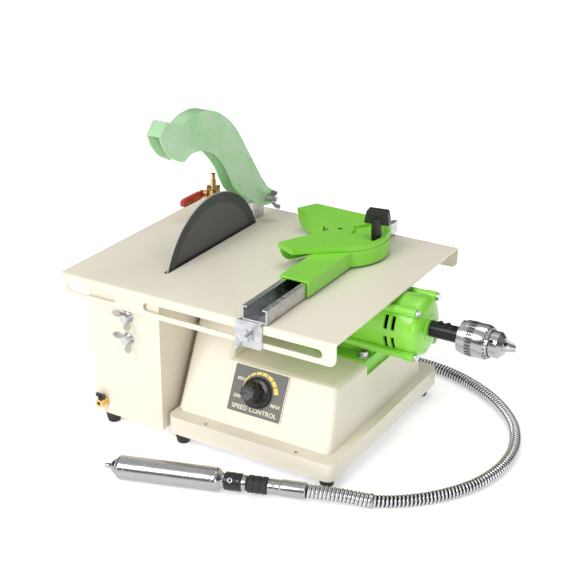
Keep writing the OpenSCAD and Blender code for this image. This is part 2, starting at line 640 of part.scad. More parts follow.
module chuck_sleeve() color(steel) {
    difference() {
        xtube(sleeve_x0, sleeve_x1 - 3, chuck_r, core_r + run);
        for (a = [0:12:348]) translate([0, axis_y, axis_z]) rotate([a, 0, 0])
            translate([sleeve_x0 + 6, chuck_r - 0.4, -1]) cube([6, 2, 2]);
    }
    difference() {
        xturn([[core_r + run, sleeve_x1 - 3], [chuck_r, sleeve_x1 - 3], [chuck_r - 2.4, sleeve_x1 + 1.5],
               [core_r + run, sleeve_x1 + 1.5]]);
        for (a = [0:15:345]) translate([0, axis_y, axis_z]) rotate([a, 0, 0])
            translate([sleeve_x1 - 2.4, core_r + 1, -0.9]) cube([6, 6, 1.8]);
    }
}
module chuck_jaw(i) color(steel) difference() {
    jaw_frame(i, 0) cylinder(h = jaw_l, r = jaw_r);
    translate([0, axis_y, axis_z]) rotate([120 * i + 90, 0, 0]) {
        rotate([60, 0, 0]) translate([jaw_tip_x - 60, -20, -20]) cube([70, 40, 20.25]);
        rotate([-60, 0, 0]) translate([jaw_tip_x - 60, -20, -20]) cube([70, 40, 20.25]);
        translate([jaw_tip_x - 1, -10, -10]) cube([10, 20, 20]);
        translate([jaw_tip_x - 1, 0, 2.9]) rotate([0, 35, 0]) translate([-12, -10, 0]) cube([20, 20, 10]);
    }
}
module chuck_jaw_1() chuck_jaw(0);
module chuck_jaw_2() chuck_jaw(1);
module chuck_jaw_3() chuck_jaw(2);
module blade_flanges() color(steel) {
    xturn([[spindle_r + 0.02, bx + blade_t / 2], [blade_flange_d / 2, bx + blade_t / 2],
           [blade_flange_d / 2, bx + blade_t / 2 + 3], [12, bx + blade_t / 2 + 7], [12, tank_x1 - tank_wall - 3],
           [spindle_r + 0.02, tank_x1 - tank_wall - 3]]);
    xturn([[spindle_r + 0.02, bx - blade_t / 2], [blade_flange_d / 2, bx - blade_t / 2],
           [blade_flange_d / 2, bx - blade_t / 2 - 3], [12, bx - blade_t / 2 - blade_flange_t],
           [spindle_r + 0.02, bx - blade_t / 2 - blade_flange_t]]);
}
module saw_blade() color([0.4, 0.4, 0.43]) {
    xtube(bx - blade_t / 2, bx + blade_t / 2, blade_r - rim_w + 1, spindle_r + 0.02);
    xtube(bx - rim_t / 2, bx + rim_t / 2, blade_r, blade_r - rim_w);
}
module blade_nut() color(steel) translate([bx - blade_t / 2 - blade_flange_t - blade_nut_t, axis_y, axis_z])
    rotate([0, 90, 0]) hexnut(blade_nut_t - 0.02, 10, spindle_r + 0.02);

// ---- speed control ----
// frame on the sloping front: +Z out of the face, +X right, +Y up the slope
module on_slope(x, z) translate([x, front_y(z, 0), z]) rotate([90 - slope_a, 0, 0]) children();
module speed_label() color([0.5, 0.5, 0.47]) on_slope(knob_x, knob_z) difference() {
    translate([0, 0, 0.05]) linear_extrude(0.8) rrect([-label_w / 2, -label_h / 2], [label_w / 2, label_h / 2], 3);
    translate([0, 0, -1]) cylinder(h = 4, r = 5.4);
}
module speed_knob() color(dark) on_slope(knob_x, knob_z) {
    difference() {
        union() {
            translate([0, 0, 1.3]) cylinder(h = 5, r = knob_d / 2);
            translate([0, 0, 6]) cylinder(h = knob_l - 6, r1 = 11, r2 = 8.6);
        }
        for (a = [0:45:315]) rotate([0, 0, a]) translate([13.4, 0, 8]) cylinder(h = knob_l, r = 4);
    }
    translate([0, 0, -7]) cylinder(h = 9, r = 3);
}
module potentiometer() color(steel) on_slope(knob_x, knob_z) difference() {
    union() {
        translate([0, 0, -base_wall - 10]) cylinder(h = 9.9, r = 10);
        translate([0, 0, -base_wall - 0.2]) cylinder(h = base_wall + 0.6, r = 5);
    }
    translate([0, 0, -8]) cylinder(h = 12, r = 3 + run);
}
module control_board() color([0.1, 0.35, 0.2]) {
    block([20, base_y0 + 34, base_z0 + 12], [110, base_y0 + 94, base_z0 + 13.6]);
    for (x = [24, 106], y = [base_y0 + 38, base_y0 + 90]) zcyl(base_z0 + plate_t, base_z0 + 12, 2.5, x, y);
    block([32, base_y0 + 50, base_z0 + 13.6], [62, base_y0 + 56, base_z0 + 30]);
    zcyl(base_z0 + 13.6, base_z0 + 30, 6, 84, base_y0 + 62);
    block([72, base_y0 + 78, base_z0 + 13.6], [96, base_y0 + 88, base_z0 + 24]);
}
module cable_gland() color(dark) difference() {
    union() {
        ycyl(body_y1 - 8, body_y1 + 2, 6, 90, ledge_z + 22);
        translate([90, body_y1 + 7.6, ledge_z + 22]) rotate([90, 0, 0]) cylinder(h = 8, r = 9, $fn = 6);
        translate([90, body_y1 - 4.8, ledge_z + 22]) rotate([90, 0, 0]) cylinder(h = 4, r = 8.6, $fn = 6);
        ycyl(body_y1 + 6, body_y1 + 18, 5.5, 90, ledge_z + 22);
    }
    ycyl(body_y1 - 20, body_y1 + 30, 3.6, 90, ledge_z + 22);
}

// ---- water valve ----
module water_valve() color(brass) difference() {
    union() {
        zcyl(table_z - 9, table_h + 1, 6, valve_p[0], valve_p[1]);
        translate([valve_p[0], valve_p[1], table_h + 0.1]) cylinder(h = 5, r = 10, $fn = 6);
        zcyl(table_h + 4, valve_stem_z + 7, valve_r, valve_p[0], valve_p[1]);
        translate([valve_p[0], valve_p[1], valve_stem_z + 6.5]) cylinder(h = 5.5, r = 9.5, $fn = 6);
        zcyl(valve_stem_z + 11.5, valve_stem_z + 21, 3.3, valve_p[0], valve_p[1]);
        zcyl(valve_stem_z + 20.5, valve_stem_z + 29, 2.9, valve_p[0], valve_p[1]);
        for (i = [0, 1]) translate([valve_p[0], valve_p[1], valve_stem_z + 13 + i * 4]) cylinder(h = 3.6, r1 = 4.2, r2 = 3.5);
        xcyl(valve_p[0] - 13, valve_p[0], 5, valve_p[1], valve_stem_z);
        translate([valve_p[0], valve_p[1], table_z - 5.1]) cylinder(h = 5, r = 9.5, $fn = 6);
    }
    zcyl(table_z - 20, valve_stem_z + 40, 2, valve_p[0], valve_p[1]);
    translate([valve_p[0], valve_p[1], valve_stem_z]) sphere(r = 5 + run);
    xcyl(valve_p[0] - 20, valve_p[0], 2.4 + run, valve_p[1], valve_stem_z);
}
module valve_lever() color([0.75, 0.15, 0.15]) {
    difference() {
        translate([valve_p[0], valve_p[1], valve_stem_z]) sphere(r = 5);
        ycyl(valve_p[1] - 9, valve_p[1] + 9, 2, valve_p[0], valve_stem_z);
    }
    xcyl(valve_p[0] - 20, valve_p[0] - 4, 2.4, valve_p[1], valve_stem_z);
    xcyl(valve_p[0] - 19.5, valve_p[0] - 13.3, 4, valve_p[1], valve_stem_z);
    block([valve_p[0] - 17.5, valve_p[1] - lever_l + 5, valve_stem_z - 4.5],
          [valve_p[0] - 14.5, valve_p[1], valve_stem_z + 4.5]);
    xcyl(valve_p[0] - 18.5, valve_p[0] - 13.5, 4.8, valve_p[1] - lever_l + 4.8, valve_stem_z);
    block([valve_p[0] - 18.5, valve_p[1] - lever_l + 4.8, valve_stem_z - 4.8],
          [valve_p[0] - 13.5, valve_p[1] - 8, valve_stem_z + 4.8]);
}
pipe_z = table_z - 20;
module spray_pipe() color(brass) difference() {
    union() {
        zcyl(pipe_z, table_z - 9.05, 5, valve_p[0], valve_p[1]);
        translate([valve_p[0], valve_p[1], pipe_z]) sphere(r = 5);
        xcyl(valve_p[0], bx - 6, 3.5, valve_p[1], pipe_z);
    }
    zcyl(pipe_z, table_z, 2, valve_p[0], valve_p[1]);
    xcyl(valve_p[0], bx, 2, valve_p[1], pipe_z);
}

// ---- guard ----
bracket_holes = [plate_x1 - 11, plate_x1 - 22];
module guard_bracket() color(steel) {
    difference() {
        union() {
            block([plate_x1 - 2.5, pivot_y - plate_w / 2, table_h + 0.05],
                  [plate_x1, pivot_y + plate_w / 2, table_h + plate_rise - plate_w / 2]);
            xcyl(plate_x1 - 2.5, plate_x1, plate_w / 2, pivot_y, table_h + plate_rise - plate_w / 2);
            block([plate_x1 - 30, pivot_y - plate_w / 2, table_h + 0.05], [plate_x1 - 1, pivot_y + plate_w / 2, table_h + 2.5]);
        }
        xcyl(plate_x1 - 5, plate_x1 + 5, 3 + run, pivot_y, pivot_z);
        for (x = bracket_holes) block([x - 2.3, pivot_y - 6, table_h - 1], [x + 2.3, pivot_y + 6, table_h + 5]);
    }
    for (x = bracket_holes) {
        zcyl(table_z - 4, table_h + 2.6, 2.1, x, pivot_y);
        zcyl(table_h + 2.55, table_h + 4.6, 4.2, x, pivot_y);
        translate([x, pivot_y, table_z - 3.3]) cylinder(h = 3.2, r = 4.2, $fn = 6);
    }
}
module guard_pivot_bolt() color(steel) {
    xcyl(guard_x0 - 4.2, guard_x1 + 14, 3, pivot_y, pivot_z);
    translate([guard_x0 - 4.2, pivot_y, pivot_z]) rotate([0, 90, 0]) cylinder(h = 4, r = 5.5, $fn = 6);
    spacer(plate_x1 + 0.1, guard_x1 - guard_t - 0.2);
    spacer(guard_x0 + guard_t + 0.2, plate_x1 - 2.6);
}
module spacer(x0, x1) difference() {
    xcyl(x0, x1, 6, pivot_y, pivot_z);
    xcyl(x0 - 1, x1 + 1, 3 + fit, pivot_y, pivot_z);
}
guard_back_line = smooth(guard_back, 3);
guard_back_in = [for (i = [0:len(guard_back_line) - 1]) let (d = knot(guard_back_line, i + 1) - knot(guard_back_line, i - 1))
    guard_back_line[i] + guard_t * [-d[1], d[0]] / norm(d)];
guard_side = concat(arc([0, 0], 12.5, -60, 80, 8), guard_back_line, guard_tip, smooth(guard_belly, 3));
guard_tip_in = [[-176, 134.6], [-203.2, 145.2], [-215, 132.8], [-217, 134], [-204, 148], [-178, 137]];
module place_guard(x0, x1, points) translate([0, pivot_y, pivot_z]) yz_prism(points, x0, x1);
module blade_guard() color([0.6, 0.88, 0.58, 0.6]) {
    difference() {
        union() {
            place_guard(guard_x0, guard_x0 + guard_t, guard_side);
            place_guard(guard_x1 - guard_t, guard_x1, guard_side);
        }
        xcyl(guard_x0 - 5, guard_x1 + 5, 3 + run, pivot_y, pivot_z);
    }
    place_guard(guard_x0 + guard_t - 0.01, guard_x1 - guard_t + 0.01,
                concat(guard_back_line, [for (i = [len(guard_back_in) - 1:-1:0]) guard_back_in[i]]));
    place_guard(guard_x0 + guard_t - 0.01, guard_x1 - guard_t + 0.01, guard_tip_in);
}
module guard_wing_nut() color(steel) translate([guard_x1 + 0.3, pivot_y, pivot_z]) rotate([0, 90, 0]) difference() {
    union() {
        cylinder(h = 8.4, r = 5);
        wings(20);
    }
    translate([0, 0, -1]) cylinder(h = 20, r = 3 + run);
}

// ---- rail, guide and fence ----
module rail_channel() color(steel) xz_prism([[rail_x0, rail_z0], [rail_x1, rail_z0], [rail_x1, rail_z1],
    [rail_x1 - rail_lip, rail_z1], [rail_x1 - rail_lip, rail_z1 - rail_t], [rail_x1 - rail_t, rail_z1 - rail_t],
    [rail_x1 - rail_t, rail_z0 + rail_t], [rail_x0 + rail_t, rail_z0 + rail_t], [rail_x0 + rail_t, rail_z1 - rail_t],
    [rail_x0 + rail_lip, rail_z1 - rail_t], [rail_x0 + rail_lip, rail_z1], [rail_x0, rail_z1]],
    -clamp_plate_y, clamp_plate_y);
rear_slot_z = min(slot_z, table_h - 10);
module rail_clamp(s, z) {
    difference() {
        translate([0, s * (clamp_plate_y + clamp_t / 2) + clamp_t / 2, 0]) rotate([90, 0, 0]) linear_extrude(clamp_t)
            rrect([clamp_x - clamp_w / 2, z - 13], [clamp_x + clamp_w / 2, rail_z0 - 0.05], 4);
        ycyl(s * clamp_plate_y - 5, s * clamp_plate_y + 5, 2.9 + run, clamp_bolt_x, z);
    }
    translate([clamp_bolt_x, s * (flange_y - sheet - 2.3) + 2, z]) rotate([90, 0, 0]) hexnut(4, 5.2, 2.9 + run);
    block([clamp_x - clamp_w / 2 + 4, min(s * (clamp_plate_y + 1), s * (flange_y - 22)), table_h + 0.2],
          [clamp_x + clamp_w / 2, max(s * (clamp_plate_y + 1), s * (flange_y - 22)), rail_z0 - 0.05]);
}
module rail_clamps() color(steel) {
    rail_clamp(-1, slot_z);
    rail_clamp(1, rear_slot_z);
}
module front_clamp_bolt() color(steel) translate([clamp_bolt_x, -clamp_plate_y - clamp_t - 0.3, slot_z])
    wing_bolt(clamp_t + sheet + 6, 60);
module rear_clamp_bolt() color(steel) translate([clamp_bolt_x, clamp_plate_y + clamp_t + 0.3, rear_slot_z])
    rotate([0, 0, 180]) wing_bolt(clamp_t + sheet + 6, 30);
guide_x0 = rail_x0 - slide_gap - guide_t;
guide_x1 = rail_x1 + slide_gap + guide_t;
guide_z0 = rail_z0 + 0.6;
module miter_guide() color(lime) {
    difference() {
        union() {
            block([guide_x0, guide_y0, guide_z0], [guide_x1, guide_y1, guide_z1]);
            zcyl(guide_z0, guide_z1, 7, disc_c[0], disc_c[1]);
            intersection() {
                zcyl(guide_z0, guide_z1, disc_r, disc_c[0], disc_c[1]);
                block([guide_x0, -big, 0], [big, big, big]);
            }
        }
        block([rail_x0 - slide_gap, -big, 0], [rail_x1 + slide_gap, big, rail_z1 + slide_gap]);
        zcyl(0, big, pivot_r + run, knob_pos[0], knob_pos[1]);
    }
    zcyl(guide_z1 - 2, fence_z1 - 1.5, pivot_r, disc_c[0], disc_c[1]);
}
fence_o = disc_c;
module fence_frame() translate([fence_o[0], fence_o[1], 0]) rotate([0, 0, 180 + fence_set]) children();
// outline of the fence: u along the V's opening, w across it
arm_tip = [vee_u + arm_l * cos(45), arm_l * sin(45)];
arm_far = [arm_tip[0] - arm_w * cos(45), arm_tip[1] + arm_w * sin(45)];
fence_outline = concat([[vee_u, 0], arm_tip, arm_far], arc([0, 0], fence_hub, 121, 239, 24),
    [[arm_far[0], -arm_far[1]], [arm_tip[0], -arm_tip[1]]]);
knob_r = norm(knob_pos - fence_o);
module ring_sector(r0, r1, a0, a1, n) polygon(concat(arc([0, 0], r1, a0, a1, n), arc([0, 0], r0, a1, a0, n)));
module web(s) rotate([0, 0, s * 45]) translate([vee_u * cos(45), -s * vee_u * sin(45), 0])
    translate([26, s < 0 ? -web_t : 0, 0]) rotate([90, 0, 0]) mirror([0, 0, 1]) linear_extrude(web_t)
        polygon(concat([[0, fence_z0 + 2], [0, web_z0 + 4], [4, web_z0]],
            arc([arm_l - 26 - 18, web_z0 + 16], 16, -90, 0, 6), [[arm_l - 28, fence_z0 + 2]]));
module miter_fence() color(lime) fence_frame() {
    difference() {
        translate([0, 0, fence_z0]) linear_extrude(fence_z1 - fence_z0) polygon(fence_outline);
        translate([0, 0, fence_z0 - 1]) cylinder(h = 20, r = pivot_r + run);
        translate([0, 0, fence_z0 - 1]) linear_extrude(20)
            ring_sector(knob_r - 3.4, knob_r + 3.4, 148, 212, 16);
        translate([0, 0, fence_z0 + 2.5]) linear_extrude(20)
            ring_sector(16, knob_r + 7.2, 144, 216, 20);
    }
    for (s = [-1, 1]) web(s);
}
module tee_knob() color(dark) translate([knob_pos[0], knob_pos[1], 0]) {
    zcyl(guide_z0 + 2, fence_z0 + 3, pivot_r, 0, 0);
    zcyl(fence_z0 + 2.7, fence_z1 + 21, 6, 0, 0);
    rotate([0, 0, 9]) translate([0, 8.5, fence_z1 + 13]) rotate([90, 0, 0]) linear_extrude(9)
        polygon([[-15, 1], [-14, 0], [14, 0], [15, 1], [12.6, 15], [11, 17], [-11, 17], [-12.6, 15]]);
}

// ---- flexible shaft and handpiece ----
function unit(v) = v / norm(v);
function ring_at(p, d, r, n) = let (e = unit(cross([0, 0, 1], d)), f = cross(d, e))
    [for (k = [0:n - 1]) p + r * (cos(360 * k / n) * e + sin(360 * k / n) * f)];
module sweep_tube(path, r, n, end_dir) {
    m = len(path);
    pts = [for (i = [0:m - 1]) each ring_at(path[i], i == m - 1 ? end_dir : unit(path[i + 1] - path[max(i - 1, 0)]), r, n)];
    sides = [for (i = [0:m - 2], k = [0:n - 1]) let (j = (k + 1) % n)
        [i * n + k, i * n + j, (i + 1) * n + j, (i + 1) * n + k]];
    polyhedron(points = pts, faces = concat([[for (k = [n - 1:-1:0]) k]], sides,
        [[for (k = [0:n - 1]) (m - 1) * n + k]]));
}
hose_line = smooth(hose_route, 2);
module flex_hose() color(steel) sweep_tube(hose_line, hose_r, 10, [-cos(tool_a), -sin(tool_a), 0]);
drive_dir = unit(hose_route[0] - hose_route[1]);
module drive_fitting() color(steel) translate(hose_route[0]) rotate([0, 90, atan2(drive_dir[1], drive_dir[0])]) {
    translate([0, 0, 0.05]) cylinder(h = 16, r = hose_r);
    translate([0, 0, 16]) cylinder(h = 10, r = 5.5);
    translate([0, 0, 26]) cylinder(h = 20, r = 3);
}
// frame of the handpiece: +Z from the hose's end towards the tip, z = 0 at the hose
module on_tool(z) translate([tool_tail[0], tool_tail[1], tool_z]) rotate([0, -90, tool_a]) translate([0, 0, z]) children();
collar_z = ferrule_l + grip_l;
barrel_z = collar_z + collar_l;
module hose_ferrule() color(steel) on_tool(0.1) {
    cylinder(h = ferrule_l - 14, r = 9);
    translate([0, 0, ferrule_l - 14]) cylinder(h = 14, r = 8.4);
    cylinder(h = collar_z - 0.2, r = 5);
}
module handpiece_grip() color(dark) on_tool(ferrule_l + 0.4) difference() {
    cylinder(h = grip_l - 0.8, r = 9.4);
    translate([0, 0, -1]) cylinder(h = grip_l + 2, r = 5 + run);
    for (z = [7, 14.5]) translate([0, 0, z]) difference() {
        cylinder(h = 1.4, r = 12);
        translate([0, 0, -1]) cylinder(h = 4, r = 8.6);
    }
}
module handpiece_barrel() color(steel) on_tool(collar_z) {
    difference() {
        union() {
            cylinder(h = 5, r = 8.8);
            translate([0, 0, 4.9]) cylinder(h = collar_l - 7, r = 9.8);
            translate([0, 0, collar_l - 2.2]) cylinder(h = 6, r1 = 9.6, r2 = barrel_d / 2);
            translate([0, 0, collar_l + 3.7]) cylinder(h = barrel_l - 3.7, r = barrel_d / 2);
        }
        translate([0, 0, collar_l + barrel_l - 30]) cylinder(h = 31, r = 6 + run);
        translate([0, 0, 14]) rotate([0, -50, 0]) translate([0, 0, 5]) cylinder(h = 10, r = 1.8);
    }
}
module handpiece_chuck() color(steel) on_tool(barrel_z + barrel_l - 28) {
    cylinder(h = 28.4, r = 6);
    translate([0, 0, 28.3]) cylinder(h = 5, r1 = 9.5, r2 = 6);
    translate([0, 0, 33.2]) cylinder(h = 3, r1 = 6, r2 = 3.2);
    translate([0, 0, 36.1]) cylinder(h = 7, r1 = 2.8, r2 = 2);
}

base_shell();
bottom_plate();
cover_screws();
rubber_feet();
water_tank();
drain_cock();
drain_handle();
tank_wing_bolt_1();
tank_wing_bolt_2();
table_top();
lock_nuts();
motor_housing();
front_end_cap();
rear_end_cap();
through_bolts();
mount_bolts();
stator_core();
field_coils();
carbon_brushes();
ball_bearings();
bearing_support();
shaft_seal();
motor_shaft();
armature_core();
commutator();
cooling_fan();
chuck_adaptor();
chuck_body();
chuck_sleeve();
chuck_jaw_1();
chuck_jaw_2();
chuck_jaw_3();
blade_flanges();
saw_blade();
blade_nut();
speed_label();
speed_knob();
potentiometer();
control_board();
cable_gland();
water_valve();
valve_lever();
spray_pipe();
guard_bracket();
guard_pivot_bolt();
blade_guard();
guard_wing_nut();
rail_channel();
rail_clamps();
front_clamp_bolt();
rear_clamp_bolt();
miter_guide();
miter_fence();
tee_knob();
flex_hose();
drive_fitting();
hose_ferrule();
handpiece_grip();
handpiece_barrel();
handpiece_chuck();
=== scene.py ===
"""Bench cabbing machine: a double-ended motor with a wet saw blade, a sliding fence, a chuck and a flexible shaft."""

import math

import bmesh
import bpy
import numpy as np
from mathutils import Matrix, Vector


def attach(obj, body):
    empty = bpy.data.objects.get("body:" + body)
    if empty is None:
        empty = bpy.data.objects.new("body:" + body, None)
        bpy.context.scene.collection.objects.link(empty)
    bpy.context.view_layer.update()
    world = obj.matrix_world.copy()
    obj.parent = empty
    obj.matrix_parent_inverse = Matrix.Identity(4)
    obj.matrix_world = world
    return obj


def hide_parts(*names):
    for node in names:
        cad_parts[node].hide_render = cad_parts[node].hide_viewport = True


bl_info = {
    "name": "Bench Cabbing Machine",
    "version": (1, 0, 0),
    "blender": (4, 5, 0),
    "location": "3D View > Sidebar > Cabbing Machine",
    "description": "Dresses the machine's frame with its finished pieces",
    "category": "Add Mesh",
}

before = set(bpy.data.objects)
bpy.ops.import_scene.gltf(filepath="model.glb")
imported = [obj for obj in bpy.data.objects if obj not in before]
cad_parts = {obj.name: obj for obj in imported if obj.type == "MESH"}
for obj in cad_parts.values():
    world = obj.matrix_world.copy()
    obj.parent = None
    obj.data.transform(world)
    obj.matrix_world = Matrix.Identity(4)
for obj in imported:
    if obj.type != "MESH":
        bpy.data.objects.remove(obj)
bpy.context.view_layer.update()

MM = 0.001
AXIS_Y, AXIS_Z = 5.0, 143.0
FRONT_SLOPE, REAR_SLOPE, SIDE_SLOPE = 0.477, 0.05, 0.14
SLOPE = math.atan(FRONT_SLOPE)
LEDGE_Z, DECK_Z = 36.0, 100.0
BLADE_X = -73.0
HOSE_RADIUS = 7.0
SPRING_RADIUS, SPRING_RIDGE, SPRING_LENGTH = 8.0, 1.2, 66.0
HOSE_SIDES = 28
ENGRAVED = (103.0, 194.0)
KNOB_LENGTH = 25.0
PRINT_TOP, LETTER_HEIGHT = 0.88, 0.84
KNOB_AT = (59.0, -109.6355, 74.5)
TOOL_TAIL = (154.0, -167.6, 13.0)
TOOL_TURN = math.radians(17.8)
HOSE_POINTS = [
    (-118, 160, 7), (-80, 161, 7), (-40, 163, 7), (0, 165, 7), (40, 166, 7), (80, 167, 7), (120, 167, 7),
    (156, 164, 7), (186, 156, 7), (214, 143, 7), (241, 126, 7), (265, 104, 7), (284, 80, 7), (297, 54, 7),
    (305, 26, 7), (307, -4, 7), (303, -34, 7), (293, -63, 7), (275, -92, 7), (250, -119, 7),
    (219, -141, 8), (187, -154, 11), (154, -167.6, 13),
]

# ---------------------------------------------------------------- shapes


def new_piece(name, points, faces, body, slot, finish, stands_for=(), smooth=40.0):
    """A mesh object from points in millimetres, in its finish; edges sharper than the angle stay sharp."""
    mesh = bpy.data.meshes.new(name)
    points = np.asarray(points, float) * MM
    mesh.from_pydata(points.tolist(), [], [list(map(int, f)) for f in faces])
    mesh.update()
    return tint(finished(name, mesh, body, stands_for, smooth), finish_of(finish))


def finished(name, mesh, body, stands_for=(), smooth=40.0):
    """Links a mesh as an object at the origin, shades it, hangs it on its body and hides the CAD nodes it stands for.
    """
    mesh.shade_smooth()
    mesh.set_sharp_from_angle(angle=math.radians(smooth))
    piece = bpy.data.objects.new(name, mesh)
    bpy.context.scene.collection.objects.link(piece)
    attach(piece, body)
    if stands_for:
        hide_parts(*stands_for)
    return piece


def grid_faces(rows, columns, closed_rows=False):
    """Quads of a grid of points, row by row, whose columns wrap round, and its rows too where they are closed."""
    r = np.arange(rows if closed_rows else rows - 1)
    c = np.arange(columns)
    a, b = np.meshgrid(r, c, indexing="ij")
    a1, b1 = (a + 1) % rows, (b + 1) % columns
    quads = np.stack([a * columns + b, a * columns + b1, a1 * columns + b1, a1 * columns + b], -1)
    return quads.reshape(-1, 4).tolist()


def tube_rings(path, radii, sides):
    """Rings along a path: each point adds the radius times (cosine * side + sine * up) to the path's, side level."""
    path = np.asarray(path, float)
    along = np.gradient(path, axis=0)
    along /= np.linalg.norm(along, axis=1, keepdims=True)
    side = np.cross(np.array([0.0, 0.0, 1.0]), along)
    side /= np.linalg.norm(side, axis=1, keepdims=True)
    up = np.cross(along, side)
    t = np.linspace(0, 2 * np.pi, sides, endpoint=False)
    ring = np.cos(t)[None, :, None] * side[:, None, :] + np.sin(t)[None, :, None] * up[:, None, :]
    return path[:, None, :] + radii[:, :, None] * ring


def turned(profile, origin, direction, sides=64, ripple=None):
    """Solid of revolution: each profile pair is a distance along the axis and a radius, which ripple(s, t) scales."""
    profile = np.asarray(profile, float)
    w = np.asarray(direction, float)
    w = w / np.linalg.norm(w)
    helper = np.array([0.0, 0.0, 1.0]) if abs(w[2]) < 0.9 else np.array([1.0, 0.0, 0.0])
    e = np.cross(helper, w)
    e /= np.linalg.norm(e)
    f = np.cross(w, e)
    t = np.linspace(0, 2 * np.pi, sides, endpoint=False)
    r = np.repeat(profile[:, 1][:, None], sides, 1)
    if ripple is not None:
        r = r * ripple(profile[:, 0][:, None] + 0 * r, t[None, :] + 0 * r)
    centre = np.asarray(origin, float) + profile[:, 0][:, None] * w
    points = centre[:, None, :] + r[:, :, None] * (np.cos(t)[None, :, None] * e + np.sin(t)[None, :, None] * f)
    rows = len(profile)
    points = points.reshape(-1, 3)
    faces = grid_faces(rows, sides)
    # the ends are closed by fans round one middle point each
    first, last = len(points), len(points) + 1
    points = np.vstack([points, centre[0], centre[-1]])
    k = np.arange(sides)
    j = (k + 1) % sides
    faces += np.stack([j, k, np.full(sides, first)], -1).tolist()
    base = (rows - 1) * sides
    faces += np.stack([base + k, base + j, np.full(sides, last)], -1).tolist()
    return points, faces


def rounded_profile(corners, radius, steps=4):
    """A profile whose corners are eased: each corner is replaced by an arc-like curve of the given radius."""
    corners = np.asarray(corners, float)
    out = [corners[0]]
    for i in range(1, len(corners) - 1):
        a, b, c = corners[i - 1], corners[i], corners[i + 1]
        la, lc = np.linalg.norm(a - b), np.linalg.norm(c - b)
        reach = min(radius, la * 0.45, lc * 0.45)
        p, q = b + (a - b) / la * reach, b + (c - b) / lc * reach
        t = np.linspace(0, 1, steps + 1)[:, None]
        out.extend((1 - t) ** 2 * p + 2 * t * (1 - t) * b + t**2 * q)
    out.append(corners[-1])
    return np.array(out)


def join_shapes(*shapes):
    """Several (points, faces) pairs as one."""
    points, faces, start = [], [], 0
    for p, f in shapes:
        points.append(np.asarray(p, float))
        faces += [[i + start for i in face] for face in f]
        start += len(p)
    return np.vstack(points), faces


def extruded(outline, lower, upper):
    """A closed prism of a flat outline on the base's sloping front, from lower to upper above its face."""
    outline = np.asarray(outline, float)
    n = len(outline)
    low = np.column_stack([outline, np.full(n, lower)])
    high = np.column_stack([outline, np.full(n, upper)])
    points = slope_place(np.vstack([low, high]))
    k = np.arange(n)
    j = (k + 1) % n
    faces = np.stack([k, j, j + n, k + n], -1).tolist()
    faces += [list(range(n))[::-1], list(range(n, 2 * n))]
    return points, faces


def corner_arc(cx, cy, r, start, end, steps=5):
    """Points of an arc: centre plus r times the cosine and sine of evenly spaced angles."""
    t = np.radians(np.linspace(start, end, steps + 1))
    return np.column_stack([cx + r * np.cos(t), cy + r * np.sin(t)])


def round_box(w, h, r, steps=5):
    """Outline of a w by h rectangle with round corners, anticlockwise about its middle."""
    x, y = w / 2 - r, h / 2 - r
    return np.vstack([
        corner_arc(x, y, r, 0, 90, steps), corner_arc(-x, y, r, 90, 180, steps),
        corner_arc(-x, -y, r, 180, 270, steps), corner_arc(x, -y, r, 270, 360, steps),
    ])


def smooth_line(points, steps):
    """Catmull-Rom curve: each span is the cubic through its ends with tangents from its neighbours."""
    p = np.asarray(points, float)
    pad = np.vstack([p[:1], p, p[-1:]])
    a, b, c, d = (pad[i:len(pad) - 3 + i][:, None, :] for i in range(4))
    t = (np.arange(steps) / steps)[None, :, None]
    curve = 0.5 * (2 * b + (c - a) * t + (2 * a - 5 * b + 4 * c - d) * t**2 + (3 * b - a - 3 * c + d) * t**3)
    return np.vstack([curve.reshape(-1, p.shape[1]), p[-1:]])


def even_steps(path, gap):
    """The same line as points an even gap apart, by its running length."""
    path = np.asarray(path, float)
    run = np.concatenate([[0], np.cumsum(np.linalg.norm(np.diff(path, axis=0), axis=1))])
    count = max(2, int(round(run[-1] / gap)) + 1)
    s = np.linspace(0, run[-1], count)
    return np.column_stack([np.interp(s, run, path[:, k]) for k in range(path.shape[1])]), s


def corners_of(mesh):
    """A mesh's vertices as rows of x, y and z, in metres."""
    co = np.zeros(len(mesh.vertices) * 3)
    mesh.vertices.foreach_get("co", co)
    return co.reshape(-1, 3)


def softened(node, name, body, finish, width, segments=2, angle=32.0):
    """A copy of a CAD node in its finish, with its loose triangles merged and its edges eased by a bevel."""
    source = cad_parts[node].data
    source.calc_loop_triangles()
    tri = np.zeros(len(source.loop_triangles) * 3, int)
    source.loop_triangles.foreach_get("vertices", tri)
    bm = bmesh.new()
    points = [bm.verts.new(p) for p in corners_of(source)]
    for t in tri.reshape(-1, 3):
        try:
            bm.faces.new([points[i] for i in t])
        except ValueError:
            continue
    bmesh.ops.remove_doubles(bm, verts=bm.verts, dist=4e-6)
    bmesh.ops.dissolve_degenerate(bm, edges=bm.edges, dist=2e-6)
    bmesh.ops.dissolve_limit(bm, angle_limit=math.radians(0.6), verts=bm.verts, edges=bm.edges)
    mesh = bpy.data.meshes.new(name)
    bm.to_mesh(mesh)
    bm.free()
    piece = finished(name, mesh, body, (node,), angle)
    ease = piece.modifiers.new("Eased edges", "BEVEL")
    ease.width = width * MM
    ease.segments = segments
    ease.limit_method = "ANGLE"
    ease.angle_limit = math.radians(angle)
    ease.harden_normals = True
    ease.miter_outer = "MITER_ARC"
    return tint(piece, finish_of(finish))


def tint_nodes(finishes):
    """Gives CAD nodes, which keep their shape, their finishes by name."""
    for node, finish in finishes.items():
        tint(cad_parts[node], finish_of(finish))


# ---------------------------------------------------------------- materials


